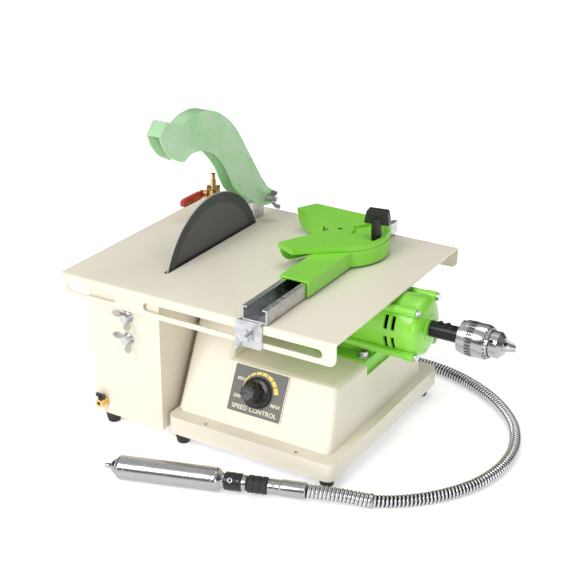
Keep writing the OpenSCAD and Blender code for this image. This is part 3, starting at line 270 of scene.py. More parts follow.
def group(name, inputs, outputs):
    """An empty node group with typed inputs (kind, name, default) and outputs (kind, name)."""
    tree = bpy.data.node_groups.new(name, "ShaderNodeTree")
    for kind, label, value in inputs:
        socket = tree.interface.new_socket(label, in_out="INPUT", socket_type=kind)
        socket.default_value = value
    for kind, label in outputs:
        tree.interface.new_socket(label, in_out="OUTPUT", socket_type=kind)
    return tree, tree.nodes.new("NodeGroupInput"), tree.nodes.new("NodeGroupOutput")


FLOAT, COLOUR = "NodeSocketFloat", "NodeSocketColor"


def feed(tree, socket, value):
    """Links another node's output to a socket, or sets a number or colour on it."""
    if isinstance(value, bpy.types.NodeSocket):
        tree.links.new(value, socket)
    else:
        socket.default_value = value


def place_of(tree):
    """The Object coordinates."""
    return tree.nodes.new("ShaderNodeTexCoord").outputs["Object"]


def noise_of(tree, vector, scale, detail=3.0, roughness=0.5):
    """A noise texture read at a vector; scale may be a socket."""
    n = tree.nodes.new("ShaderNodeTexNoise")
    n.inputs["Detail"].default_value = detail
    n.inputs["Roughness"].default_value = roughness
    tree.links.new(vector, n.inputs["Vector"])
    feed(tree, n.inputs["Scale"], scale)
    return n.outputs["Fac"]


def span(tree, value, low, high, from_low=0.0, from_high=1.0):
    """Map Range of a value; low and high may be sockets."""
    m = tree.nodes.new("ShaderNodeMapRange")
    tree.links.new(value, m.inputs["Value"])
    m.inputs["From Min"].default_value = from_low
    m.inputs["From Max"].default_value = from_high
    feed(tree, m.inputs["To Min"], low)
    feed(tree, m.inputs["To Max"], high)
    return m.outputs["Result"]


def maths(tree, operation, a, b):
    """A Math node; a and b are sockets or numbers."""
    m = tree.nodes.new("ShaderNodeMath")
    m.operation = operation
    feed(tree, m.inputs[0], a)
    feed(tree, m.inputs[1], b)
    return m.outputs[0]


def vector_maths(tree, operation, a, b=None):
    """A Vector Math node; b is a socket or a vector."""
    m = tree.nodes.new("ShaderNodeVectorMath")
    m.operation = operation
    tree.links.new(a, m.inputs[0])
    if b is not None:
        feed(tree, m.inputs[1], b)
    return m.outputs["Value" if operation == "LENGTH" else "Vector"]


def shaded(tree, colour, value):
    """A colour whose brightness is scaled by a value."""
    hue = tree.nodes.new("ShaderNodeHueSaturation")
    tree.links.new(colour, hue.inputs["Color"])
    tree.links.new(value, hue.inputs["Value"])
    return hue.outputs[0]


def mixed(tree, factor, a, b):
    """A colour mix; a and b are sockets or colours."""
    m = tree.nodes.new("ShaderNodeMix")
    m.data_type = "RGBA"
    for index, value in ((0, factor), (6, a), (7, b)):
        feed(tree, m.inputs[index], value)
    return m.outputs[2]


def enamel_group():
    """Sprayed enamel: slow tone drift, orange-peel height, and a little settled dust on faces that look up."""
    tree, i, o = group("Enamel Skin", [
        (COLOUR, "Paint", (0.8, 0.8, 0.8, 1)), (FLOAT, "Peel Scale", 520.0), (FLOAT, "Roughness", 0.35),
        (FLOAT, "Drift", 0.06), (FLOAT, "Dust", 0.05),
    ], [(COLOUR, "Color"), (FLOAT, "Roughness"), (FLOAT, "Height")])
    link = tree.links.new
    at = place_of(tree)
    slow = noise_of(tree, at, 9.0, 2.0)
    fine = noise_of(tree, at, i.outputs["Peel Scale"], 2.0, 0.45)
    mid = noise_of(tree, at, 60.0, 4.0, 0.6)
    drift = maths(tree, "MULTIPLY", maths(tree, "SUBTRACT", slow, 0.5), i.outputs["Drift"])
    paint = shaded(tree, i.outputs["Paint"], maths(tree, "ADD", drift, 1.0))
    normal = tree.nodes.new("ShaderNodeNewGeometry").outputs["Normal"]
    split = tree.nodes.new("ShaderNodeSeparateXYZ")
    link(normal, split.inputs[0])
    up = maths(tree, "GREATER_THAN", split.outputs["Z"], 0.9)
    specks = span(tree, mid, 0.0, i.outputs["Dust"], 0.45, 0.75)
    dusty = maths(tree, "MULTIPLY", up, specks)
    link(mixed(tree, dusty, paint, (0.62, 0.6, 0.55, 1)), o.inputs["Color"])
    uneven = maths(tree, "MULTIPLY", maths(tree, "SUBTRACT", mid, 0.5), 0.12)
    rough = maths(tree, "ADD", i.outputs["Roughness"], uneven)
    link(maths(tree, "ADD", rough, maths(tree, "MULTIPLY", dusty, 0.8)), o.inputs["Roughness"])
    link(fine, o.inputs["Height"])
    return tree


def metal_group():
    """Worked metal: streaks drawn out along one direction, cloudy tone, and fine pits."""
    tree, i, o = group("Worked Metal", [
        (COLOUR, "Metal", (0.7, 0.7, 0.7, 1)), ("NodeSocketVector", "Streak", (60.0, 900.0, 900.0)),
        (FLOAT, "Smooth", 0.2), (FLOAT, "Rough", 0.35), (FLOAT, "Cloud", 0.12),
    ], [(COLOUR, "Color"), (FLOAT, "Roughness"), (FLOAT, "Height")])
    link = tree.links.new
    at = place_of(tree)
    streak = noise_of(tree, vector_maths(tree, "MULTIPLY", at, i.outputs["Streak"]), 1.0, 3.0, 0.6)
    cloud = noise_of(tree, at, 45.0, 4.0, 0.6)
    tone = maths(tree, "ADD", 1.0, maths(tree, "MULTIPLY", maths(tree, "SUBTRACT", cloud, 0.5), i.outputs["Cloud"]))
    tone = maths(tree, "ADD", tone, maths(tree, "MULTIPLY", maths(tree, "SUBTRACT", streak, 0.5), i.outputs["Cloud"]))
    link(shaded(tree, i.outputs["Metal"], tone), o.inputs["Color"])
    both = maths(tree, "ADD", maths(tree, "MULTIPLY", streak, 0.6), maths(tree, "MULTIPLY", cloud, 0.4))
    link(span(tree, both, i.outputs["Smooth"], i.outputs["Rough"], 0.3, 0.7), o.inputs["Roughness"])
    link(streak, o.inputs["Height"])
    return tree


def mould_group():
    """Moulded plastic or rubber: a fine pebbled grain, faint flow lines and uneven gloss."""
    tree, i, o = group("Moulded Grain", [
        (COLOUR, "Body", (0.03, 0.03, 0.03, 1)), (FLOAT, "Grain Scale", 900.0), (FLOAT, "Roughness", 0.4),
    ], [(COLOUR, "Color"), (FLOAT, "Roughness"), (FLOAT, "Height")])
    link = tree.links.new
    at = place_of(tree)
    pebble = tree.nodes.new("ShaderNodeTexVoronoi")
    link(at, pebble.inputs["Vector"])
    link(i.outputs["Grain Scale"], pebble.inputs["Scale"])
    flow = noise_of(tree, at, 35.0, 4.0, 0.6)
    link(shaded(tree, i.outputs["Body"], span(tree, flow, 0.85, 1.18)), o.inputs["Color"])
    uneven = maths(tree, "MULTIPLY", maths(tree, "SUBTRACT", flow, 0.5), 0.2)
    link(maths(tree, "ADD", i.outputs["Roughness"], uneven), o.inputs["Roughness"])
    link(pebble.outputs["Distance"], o.inputs["Height"])
    return tree


GROUPS = {}


def shared(name):
    """The shared node group of that name, built the first time it is asked for."""
    if name not in GROUPS:
        GROUPS[name] = {"enamel": enamel_group, "metal": metal_group, "mould": mould_group}[name]()
    return GROUPS[name]


def principled(name, shader):
    """A material, its node tree and its Principled shader, with constant values set by socket name."""
    made = bpy.data.materials.new(name)
    made.use_nodes = True
    bsdf = made.node_tree.nodes["Principled BSDF"]
    for key, value in shader.items():
        bsdf.inputs[key].default_value = value
    return made, made.node_tree, bsdf


def bumped(tree, bsdf, height, strength, depth):
    """Turns a height into the shader's normal; the depth is in millimetres."""
    bump = tree.nodes.new("ShaderNodeBump")
    bump.inputs["Strength"].default_value = strength
    bump.inputs["Distance"].default_value = depth * MM
    tree.links.new(height, bump.inputs["Height"])
    tree.links.new(bump.outputs["Normal"], bsdf.inputs["Normal"])


def surface(name, kind, bump, depth, shader, **values):
    """A material: a shared group feeds colour, roughness and bump of one Principled shader with constant sockets."""
    made, tree, bsdf = principled(name, shader)
    g = tree.nodes.new("ShaderNodeGroup")
    g.node_tree = shared(kind)
    for key, value in values.items():
        g.inputs[key.replace("_", " ")].default_value = value
    tree.links.new(g.outputs["Color"], bsdf.inputs["Base Color"])
    tree.links.new(g.outputs["Roughness"], bsdf.inputs["Roughness"])
    bumped(tree, bsdf, g.outputs["Height"], bump, depth)
    return made


def rgba(colour):
    """A colour property as four numbers."""
    return (colour[0], colour[1], colour[2], 1.0)


def scaled(colour, factor):
    """A colour made lighter or darker by a factor."""
    return rgba([min(1.0, factor * c) for c in colour])


def enamel(name, colour, roughness=0.36, coat=0.25, drift=0.05, dust=0.04, peel=0.35):
    """Sprayed enamel over metal."""
    return surface(name, "enamel", peel, 0.05, {"Coat Weight": coat, "Coat Roughness": 0.18, "IOR": 1.5},
                   Paint=rgba(colour), Roughness=roughness, Drift=drift, Dust=dust)


def printed(name, colour, roughness=0.5):
    """Flat ink."""
    return enamel(name, colour, roughness, 0.0, 0.03, 0.0, 0.05)


def metal(name, colour, smooth, rough, streak=(60, 900, 900), cloud=0.12, bump=0.12, depth=0.02):
    """Bare or plated metal."""
    return surface(name, "metal", bump, depth, {"Metallic": 1.0}, Metal=rgba(colour), Streak=streak,
                   Smooth=smooth, Rough=rough, Cloud=cloud)


def moulded(name, colour, roughness, grain=900.0, bump=0.15, **extra):
    """Moulded plastic or rubber."""
    return surface(name, "mould", bump, 0.04, {"IOR": 1.48, **extra},
                   Body=rgba(colour), Grain_Scale=grain, Roughness=roughness)


def tint(piece, material):
    """Gives every slot of a piece the same material."""
    slots = piece.data.materials
    if len(slots) == 0:
        slots.append(material)
    for k in range(len(slots)):
        slots[k] = material
    return piece


def blade_material(colour):
    """Steel disc: rings about the spindle in tone and height, and a sandy grey rim that carries diamond."""
    made, tree, bsdf = principled("Blade Steel", {})
    link = tree.links.new
    at = place_of(tree)
    shift = tree.nodes.new("ShaderNodeMapping")
    shift.inputs["Location"].default_value = (0, -AXIS_Y * MM, -AXIS_Z * MM)
    link(at, shift.inputs["Vector"])
    radius = vector_maths(tree, "LENGTH", vector_maths(tree, "MULTIPLY", shift.outputs[0], (0, 1, 1)))
    rings = tree.nodes.new("ShaderNodeTexNoise")
    rings.noise_dimensions = "1D"
    rings.inputs["Scale"].default_value = 900.0
    rings.inputs["Detail"].default_value = 4.0
    link(radius, rings.inputs["W"])
    cloud = noise_of(tree, at, 35.0, 4.0, 0.6)
    grit = noise_of(tree, at, 1400.0, 2.0, 0.7)
    rim = span(tree, radius, 0.0, 1.0, 0.0862, 0.0872)
    edge = span(tree, radius, 0.0, 1.0, 0.0988, 0.0994)
    ringed = maths(tree, "MULTIPLY", rings.outputs["Fac"], 0.35)
    tone = maths(tree, "ADD", ringed, maths(tree, "MULTIPLY", cloud, 0.25))
    steel = mixed(tree, tone, scaled(colour, 0.8), scaled(colour, 1.9))
    sand = mixed(tree, grit, (0.035, 0.037, 0.04, 1), (0.15, 0.155, 0.165, 1))
    sand = mixed(tree, edge, sand, (0.5, 0.51, 0.52, 1))
    link(mixed(tree, rim, steel, sand), bsdf.inputs["Base Color"])
    link(span(tree, rim, 0.9, 0.35), bsdf.inputs["Metallic"])
    rough = maths(tree, "ADD", maths(tree, "MULTIPLY", rings.outputs["Fac"], 0.2), 0.34)
    link(maths(tree, "ADD", rough, maths(tree, "MULTIPLY", rim, 0.25)), bsdf.inputs["Roughness"])
    bumped(tree, bsdf, mixed(tree, rim, rings.outputs["Fac"], grit), 0.25, 0.03)
    return made


def guard_material(colour):
    """Tinted milky moulding: slow clouds in tone and gloss, and some light let through."""
    made, tree, bsdf = principled("Clear Green", {
        "Transmission Weight": 0.35, "IOR": 1.4, "Coat Weight": 0.35, "Coat Roughness": 0.1})
    at = place_of(tree)
    cloud = noise_of(tree, at, 22.0, 3.0, 0.5)
    flow = noise_of(tree, at, 70.0, 2.0, 0.4)
    pale = rgba([min(1.0, 0.35 + 0.65 * c) for c in colour])
    milk = span(tree, cloud, 0.0, 1.0, 0.35, 0.65)
    tree.links.new(mixed(tree, milk, rgba(colour), pale), bsdf.inputs["Base Color"])
    tree.links.new(span(tree, flow, 0.26, 0.4, 0.3, 0.7), bsdf.inputs["Roughness"])
    bumped(tree, bsdf, flow, 0.05, 0.2)
    return made


def floor_material():
    """White paper sweep that glows a little, so that it stays white but still takes soft shadows."""
    made = surface("Studio Floor", "enamel", 0.0, 0.01, {"Emission Color": (1, 1, 1, 1), "Emission Strength": 0.38},
                   Paint=(0.9, 0.9, 0.9, 1), Roughness=0.85, Drift=0.004, Dust=0.0)
    made.node_tree.nodes["Principled BSDF"].inputs["Specular IOR Level"].default_value = 0.1
    return made


def spangle_material(colour):
    """Hot-dipped zinc: large flat crystals, each with its own tone and gloss."""
    made, tree, bsdf = principled("Galvanised Steel", {"Metallic": 1.0})
    link = tree.links.new
    at = place_of(tree)
    bend = noise_of(tree, at, 90.0, 2.0)
    cells = tree.nodes.new("ShaderNodeTexVoronoi")
    cells.inputs["Scale"].default_value = 160.0
    moved = vector_maths(tree, "ADD", at, maths(tree, "MULTIPLY", bend, 0.004))
    link(moved, cells.inputs["Vector"])
    pick = tree.nodes.new("ShaderNodeSeparateColor")
    link(cells.outputs["Color"], pick.inputs[0])
    fine = noise_of(tree, at, 500.0, 3.0, 0.6)
    crystal = maths(tree, "MULTIPLY", pick.outputs[0], 0.7)
    tone = maths(tree, "ADD", crystal, maths(tree, "MULTIPLY", fine, 0.3))
    link(mixed(tree, tone, scaled(colour, 0.78), scaled(colour, 1.12)), bsdf.inputs["Base Color"])
    link(span(tree, pick.outputs[1], 0.24, 0.42), bsdf.inputs["Roughness"])
    bumped(tree, bsdf, tone, 0.15, 0.03)
    return made


MATERIALS = {}


def finish_of(name):
    """The material of that name, built the first time it is asked for from the add-on's colours."""
    if name in MATERIALS:
        return MATERIALS[name]
    c = bpy.context.scene.cabbing_colours
    makers = {
        "cream": lambda: enamel("Cream Enamel", c.cream, 0.38, 0.22),
        "green": lambda: enamel("Green Enamel", c.green, 0.3, 0.4, 0.05, 0.02, 0.25),
        "zinc": lambda: metal("Zinc Plate", c.zinc, 0.22, 0.4, (300, 300, 300), 0.18, 0.1),
        "galvanised": lambda: spangle_material(c.zinc),
        "steel": lambda: metal("Ground Steel", c.steel, 0.16, 0.34, (1400, 60, 60), 0.14),
        "chrome": lambda: metal("Polished Chrome", c.chrome, 0.16, 0.3, (500, 120, 120), 0.16, 0.05, 0.01),
        "knurl": lambda: metal("Dark Knurl", (0.05, 0.05, 0.053), 0.35, 0.55, (400, 400, 400), 0.2),
        "oxide": lambda: metal("Black Oxide", (0.035, 0.035, 0.04), 0.28, 0.42, (200, 600, 600), 0.2),
        "hose": lambda: metal("Strip Steel", scaled(c.chrome, 1.5), 0.2, 0.34, (400, 400, 400), 0.2),
        "blade": lambda: blade_material(c.blade),
        "core": lambda: metal("Laminated Iron", (0.3, 0.3, 0.32), 0.35, 0.55, (2600, 40, 40), 0.3, 0.4, 0.05),
        "brass": lambda: metal("Brass", c.brass, 0.16, 0.34, (120, 120, 700), 0.14),
        "copper": lambda: metal("Enamelled Copper", (0.7, 0.3, 0.13), 0.2, 0.35, (900, 900, 60), 0.25, 0.5, 0.1),
        "carbon": lambda: moulded("Pressed Carbon", (0.03, 0.03, 0.033), 0.6),
        "rubber": lambda: moulded("Black Rubber", (0.018, 0.018, 0.018), 0.62, 500.0, 0.25),
        "black": lambda: moulded("Black Plastic", (0.007, 0.007, 0.008), 0.36, 1200.0, 0.08, **{"Coat Weight": 0.2}),
        "grip": lambda: moulded("Black Grip", (0.016, 0.016, 0.018), 0.5, 800.0, 0.2),
        "red": lambda: moulded("Dipped Red Vinyl", c.red, 0.3, 300.0, 0.05,
                               **{"Coat Weight": 0.4, "Coat Roughness": 0.1}),
        "guard": lambda: guard_material(c.guard),
        "plate": lambda: enamel("Printed Plate", (0.13, 0.13, 0.125), 0.42, 0.1, 0.04, 0.0, 0.1),
        "print_pale": lambda: printed("Pale Print", (0.88, 0.84, 0.62)),
        "print_yellow": lambda: printed("Yellow Print", (0.86, 0.68, 0.16)),
        "dial_mark": lambda: printed("Dial Mark", (0.1, 0.1, 0.1), 0.45),
        "board": lambda: enamel("Circuit Board", (0.02, 0.16, 0.06), 0.35, 0.3, 0.15, 0.0, 0.1),
        # painted shade: a near-black steel put in the hose's grooves, where shade falls
        "gap": lambda: metal("Shadowed Steel", (0.012, 0.012, 0.013), 0.4, 0.6, (400, 400, 400), 0.2),
    }
    MATERIALS[name] = makers[name]()
    return MATERIALS[name]


# ---------------------------------------------------------------- settings


def colour_property(name, what, value):
    """A colour property with its name, description and default."""
    return bpy.props.FloatVectorProperty(
        name=name, description=what, subtype="COLOR", size=3, min=0, max=1, default=value)


def length_property(name, what, value, low, high):
    """A length property, in millimetres."""
    return bpy.props.FloatProperty(name=name, description=what, default=value, min=low, max=high)


class CabbingColours(bpy.types.PropertyGroup):
    """Colours of the machine's finishes."""

    cream: colour_property("Cream", "Enamel of the table, tank and base", (0.80, 0.745, 0.625))
    green: colour_property("Green", "Enamel of the motor, guide and fence", (0.235, 0.66, 0.045))
    guard: colour_property("Guard", "Tint of the blade guard", (0.42, 0.80, 0.38))
    zinc: colour_property("Zinc", "Plated steel parts", (0.6, 0.61, 0.63))
    steel: colour_property("Steel", "Ground steel parts", (0.42, 0.425, 0.435))
    chrome: colour_property("Chrome", "Polished parts", (0.42, 0.425, 0.44))
    blade: colour_property("Blade", "Core of the saw blade", (0.135, 0.135, 0.155))
    brass: colour_property("Brass", "Valve and drain cock", (0.78, 0.57, 0.25))
    red: colour_property("Red", "Grip of the water valve", (0.55, 0.03, 0.02))


class CabbingSizes(bpy.types.PropertyGroup):
    """Sizes of the details that the frame leaves open, in millimetres."""

    enamel_edge: length_property("Enamel Edge", "Easing of the sheet edges", 0.8, 0.2, 2.0)
    casting_edge: length_property("Casting Edge", "Rounding of the green castings", 1.6, 0.4, 3.0)
    base_round: length_property("Base Rounding", "Rounding of the base's outer edges", 6.0, 1.0, 9.0)
    hose_pitch: length_property("Hose Pitch", "Distance between the hose's ridges", 4.2, 2.4, 8.0)
    hose_ridge: length_property("Hose Ridge", "Height of the hose's ridges", 1.2, 0.3, 1.5)


def sizes():
    """The add-on's sizes."""
    return bpy.context.scene.cabbing_sizes


# ---------------------------------------------------------------- pieces


def make_stage():
    """White floor, a soft key from the front, panels that show in the polished parts, and the camera."""
    scene = bpy.context.scene
    scene.view_settings.view_transform = "Standard"
    floor = bpy.data.meshes.new("Studio Floor")
    floor.from_pydata([(-9, -9, 0), (9, -9, 0), (9, 9, 0), (-9, 9, 0)], [], [(0, 1, 2, 3)])
    floor_piece = bpy.data.objects.new("Studio Floor", floor)
    scene.collection.objects.link(floor_piece)
    tint(floor_piece, floor_material())
    for name, kind, place, aim, size, power, tone in (
        ("Key", "SUN", (-0.35, -1.6, 1.45), (0, 0, 0.1), 0.5, 1.5, (1, 0.995, 0.975)),
        ("Front Strip", "AREA", (-0.9, -1.9, 0.5), (0, 0, 0.1), 0.5, 6.0, (1, 1, 1)),
        ("Right Strip", "AREA", (1.7, -1.4, 0.45), (0, 0, 0.1), 0.5, 10.0, (1, 1, 1)),
        ("Top Panel", "AREA", (0.2, 0.5, 2.2), (0, 0, 0.1), 1.0, 8.0, (1, 1, 1)),
    ):
        lamp = bpy.data.lights.new(name, kind)
        if kind == "SUN":
            lamp.angle = size
        else:
            lamp.size = size
        lamp.energy = power
        lamp.color = tone
        holder = bpy.data.objects.new(name, lamp)
        holder.location = place
        holder.rotation_euler = (Vector(aim) - Vector(place)).to_track_quat("-Z", "Y").to_euler()
        scene.collection.objects.link(holder)
    world = bpy.data.worlds.new("Graded Studio")
    world.use_nodes = True
    tree = world.node_tree
    at = tree.nodes.new("ShaderNodeTexCoord").outputs["Generated"]
    split = tree.nodes.new("ShaderNodeSeparateXYZ")
    tree.links.new(at, split.inputs[0])
    height = span(tree, split.outputs["Z"], 0.0, 1.0, 0.3, 0.75)
    background = tree.nodes["Background"]
    tree.links.new(mixed(tree, height, (0.1, 0.102, 0.108, 1), (0.95, 0.95, 0.94, 1)), background.inputs["Color"])
    background.inputs["Strength"].default_value = 0.75
    scene.world = world
    make_camera()


def make_camera():
    """The camera, aimed by its azimuth, elevation and roll."""
    azimuth, elevation, roll = math.radians(30.36), math.radians(24.07), math.radians(0.41)
    level = math.cos(elevation)
    back = Vector((math.sin(azimuth) * level, -math.cos(azimuth) * level, math.sin(elevation)))
    right = Vector((math.cos(azimuth), math.sin(azimuth), 0))
    up = back.cross(right)
    x_axis = right * math.cos(roll) + up * math.sin(roll)
    y_axis = -right * math.sin(roll) + up * math.cos(roll)
    camera = bpy.data.cameras.new("Camera")
    camera.lens = 80.67
    camera.sensor_width = 36.0
    holder = bpy.data.objects.new("Camera", camera)
    holder.matrix_world = Matrix((
        (x_axis.x, y_axis.x, back.x, 0.7109), (x_axis.y, y_axis.y, back.y, -1.1598),
        (x_axis.z, y_axis.z, back.z, 0.7519), (0, 0, 0, 1),
    ))
    bpy.context.scene.collection.objects.link(holder)
    bpy.context.scene.camera = holder


def wound_tube(name, path, run, depth, outer, stands_for=()):
    """A strip-wound tube: the radius rises in a rounded ridge once per pitch along a helix, with painted shade, a
    near-black steel, in the grooves between.
    """
    sides, pitch = HOSE_SIDES, sizes().hose_pitch
    turn = np.linspace(0, 1, sides, endpoint=False)
    phase = (run[:, None] / pitch + turn[None, :]) % 1.0
    ridge = np.interp(phase, [0, 0.08, 0.2, 0.36, 0.48, 0.55, 1.0], [0.0, 0.75, 1.0, 1.0, 0.75, 0.0, 0.0])
    radius = outer - depth * (1 - ridge)
    points = tube_rings(path, radius, sides).reshape(-1, 3)
    faces = grid_faces(len(path), sides)
    last = (len(path) - 1) * sides
    faces += [list(range(sides))[::-1], list(range(last, last + sides))]
    piece = new_piece(name, points, faces, "frame", "hose_metal", "hose", stands_for, 50)
    # faces low in the grooves take a near-black steel: painted shade where the grooves fall dark
    piece.data.materials.append(finish_of("gap"))
    near = (ridge[:-1] + ridge[1:]) / 2
    near = (near + np.roll(near, -1, axis=1)) / 2
    which = np.concatenate([(near < 0.3).astype(int).ravel(), [0, 0]])
    piece.data.polygons.foreach_set("material_index", which)
    return piece


def hose_line():
    """The sheath's middle line in even steps, with its running length."""
    return even_steps(smooth_line(HOSE_POINTS, 24), sizes().hose_pitch / 7)


def make_hose():
    """The shaft's wound sheath, with a coarser spring over its last stretch that ends in a small collar."""
    path, run = hose_line()
    ridge = sizes().hose_ridge
    wound_tube("hose_sheath", path, run, ridge, HOSE_RADIUS, ("flex_hose",))
    spring, length = even_steps(path[run > run[-1] - SPRING_LENGTH], sizes().hose_pitch / 8)
    wound_tube("strain_spring", spring, length, SPRING_RIDGE, SPRING_RADIUS)
    collar = rounded_profile([(-0.6, 6.0), (-0.6, 7.7), (2.2, 7.9), (3.6, 7.2), (3.8, 6.0)], 0.4)
    back = spring[0] - spring[12]
    new_piece("spring_collar", *turned(collar, spring[0], back, 48), "frame", "hose_metal", "chrome")


def tool_axis():
    """Direction from the hose's end to the tip of the handpiece."""
    return (-math.cos(TOOL_TURN), -math.sin(TOOL_TURN), 0.0)


def on_tool(profile, ease=0.4, sides=72, ripple=None):
    """A profile with eased corners turned about the handpiece's axis."""
    return turned(rounded_profile(profile, ease), TOOL_TAIL, tool_axis(), sides, ripple)


def make_handpiece():
    """Handpiece: engraved barrel, lock ring, knurled grip and ferrule about one axis, and the nose that spins."""
    way = tool_axis()
    make_barrel()
    new_piece("handpiece_lock_ring", *on_tool([
        (69.3, 6.0), (69.3, 9.4), (70.5, 9.8), (74, 9.8), (74.4, 9.3), (75.2, 9.3), (75.6, 9.8), (86.5, 9.8),
        (87.6, 9.2), (87.6, 6.0),
    ]), "frame", "black_plastic", "black", (), 30)
    eye = Vector(TOOL_TAIL) + Vector(way) * 80.5
    across = Vector((math.sin(TOOL_TURN), -math.cos(TOOL_TURN), 0)) * 0.8 + Vector((0, 0, 0.6))
    across.normalize()
    rim = rounded_profile([(9.0, 2.9), (10.0, 2.9), (10.15, 2.3), (10.0, 1.6), (9.2, 1.4), (9.1, 0.0)], 0.2)
    new_piece("handpiece_eyelet", *turned(rim, eye, across, 32), "frame", "chrome", "chrome")
    make_knurled_grip()
    sleeve = on_tool([
        (0.1, 7.2), (0.1, 8.6), (0.8, 9.0), (26.5, 9.0), (27.2, 8.5), (27.8, 8.3), (28.2, 8.4), (33, 8.4),
        (33.2, 8.1), (33.8, 8.1), (34, 8.4), (40.6, 8.4), (41.1, 7.8), (41.2, 5.0),
    ])
    stem = turned([(41.0, 0.0), (41.0, 4.95), (63.8, 4.95), (63.8, 0.0)], TOOL_TAIL, way, 32)
    new_piece("ferrule_sleeve", *join_shapes(sleeve, stem), "frame", "chrome", "chrome", ("hose_ferrule",), 30)
    new_piece("collet_nose", *on_tool([
        (180, 0), (180, 5.9), (205.9, 5.9), (206.3, 9.2), (207.5, 9.5), (210.8, 7.2), (212.4, 6.0), (214.2, 3.6),
        (216.0, 2.9), (219.6, 2.5), (220.9, 2.1), (220.9, 1.2), (217, 1.2), (217, 0),
    ], 0.5, 64), "tool_collet", "bright_steel", "chrome", ("handpiece_chuck",), 30)
    drive = rounded_profile([
        (-0.05, 0), (0.05, 6.6), (15, 7.0), (16, 6.4), (16.1, 5.5), (25, 5.5), (26, 5.0), (26, 3), (45, 3.0),
        (46, 2.4), (46, 0),
    ], 0.4)
    start, step = np.array(HOSE_POINTS[0], float), np.array(HOSE_POINTS[1], float)
    new_piece("shaft_drive_end", *turned(drive, start, start - step, 48), "frame", "bright_steel", "steel",
              ("drive_fitting",), 30)


def make_barrel():
    """The barrel with its shoulder and end rings, and a ring in front of the lock ring."""
    ring = on_tool([(64.1, 5.5), (64.1, 8.6), (68.7, 8.6), (68.7, 8.1), (69.2, 8.1), (69.2, 5.5)], 0.3, 64)
    outline = rounded_profile([
        (87.5, 5.0), (87.5, 7.6), (90.5, 8.2), (94.5, 12.2), (96.5, 13.0), (100, 13.0), (100.3, 12.75), (100.9, 12.75),
        (101.2, 13.0), (196, 13.0), (196.3, 12.75), (196.9, 12.75), (197.2, 13.0), (203.5, 13.0), (205.8, 11.6),
        (205.9, 6.2), (199.5, 6.2),
    ], 0.8)
    start, end = ENGRAVED
    fine = np.linspace(start, end, 365)
    cut = np.searchsorted(outline[:, 0], start - 1.0)
    outline = np.vstack([outline[:cut], np.column_stack([fine, np.full(len(fine), 13.0)]), outline[cut:]])

    def engraved(s, t):
        """Fine rings cut round the barrel, deeper over some stretches than others."""
        line = np.clip(np.cos(2 * np.pi * s / 2.0) - 0.55, 0, 1) * ((s > start) & (s < end))
        patch = 0.5 + 0.5 * np.sin(s * 0.31 + 1.3 * np.sin(t))
        return 1 - 0.011 * line * patch

    barrel = turned(outline, TOOL_TAIL, tool_axis(), 96, engraved)
    new_piece("handpiece_body", *join_shapes(ring, barrel), "frame", "chrome", "chrome", ("handpiece_barrel",), 30)


def make_knurled_grip():
    """The grip: bands of crossed helical waves, with plain grooves between them."""

    def diamond(s, t):
        """The higher of two opposite spirals at each point of a band, and a smaller radius in the grooves."""
        wave = np.maximum(np.cos(14 * t + s * 1.05), np.cos(14 * t - s * 1.05))
        band = ((s - 41.4) % 7.4) < 6.0
        return np.where(band, 1 + 0.075 * (wave - 1) * 0.5, 0.9)

    s = np.linspace(41.6, 63.4, 90)
    r = np.interp(s, [41.6, 42.4, 62.6, 63.4], [8.6, 9.4, 9.4, 8.6])
    outline = np.vstack([[41.6, 5.1], np.column_stack([s, r]), [63.4, 5.1]])
    new_piece("handpiece_knurl", *turned(outline, TOOL_TAIL, tool_axis(), 128, diamond), "tool_grip", "black_plastic",
              "grip", ("handpiece_grip",), 60)


def slope_place(points):
    """Carries (right, up the slope, out of the face) on the base's sloping front into the row frame."""
    p = np.asarray(points, float)
    up = np.array([0, math.sin(SLOPE), math.cos(SLOPE)])
    out = np.array([0, -math.cos(SLOPE), math.sin(SLOPE)])
    return np.array(KNOB_AT) + p[:, :1] * np.array([1.0, 0, 0]) + p[:, 1:2] * up + p[:, 2:3] * out


def band_ring(outer, inner, low, high):
    """A flat frame between two outlines with the same number of points, as a closed band from low to high."""
    n = len(outer)
    loops = [np.column_stack([o, np.full(n, z)]) for o, z in ((outer, low), (outer, high), (inner, high), (inner, low))]
    return slope_place(np.vstack(loops)), grid_faces(4, n, closed_rows=True)


def words(name, text, size, at):
    """Lettering on the plate: text made a mesh, then set on the sloping face about a middle point."""
    curve = bpy.data.curves.new(name, "FONT")
    curve.body = text
    curve.size = size
    curve.align_x, curve.align_y = "CENTER", "CENTER"
    curve.extrude = 0.06
    curve.space_character = 1.08
    curve.offset = 0.12
    holder = bpy.data.objects.new(name + "_source", curve)
    bpy.context.scene.collection.objects.link(holder)
    bpy.context.view_layer.update()
    made = bpy.data.meshes.new_from_object(holder.evaluated_get(bpy.context.evaluated_depsgraph_get()))
    bpy.data.objects.remove(holder)
    raised = corners_of(made) + (at[0], at[1], LETTER_HEIGHT)
    made.vertices.foreach_set("co", (slope_place(raised) * MM).ravel())
    made.name = name
    made.update()
    piece = finished(name, made, "frame", (), 30)
    return tint(piece, finish_of("print_pale"))


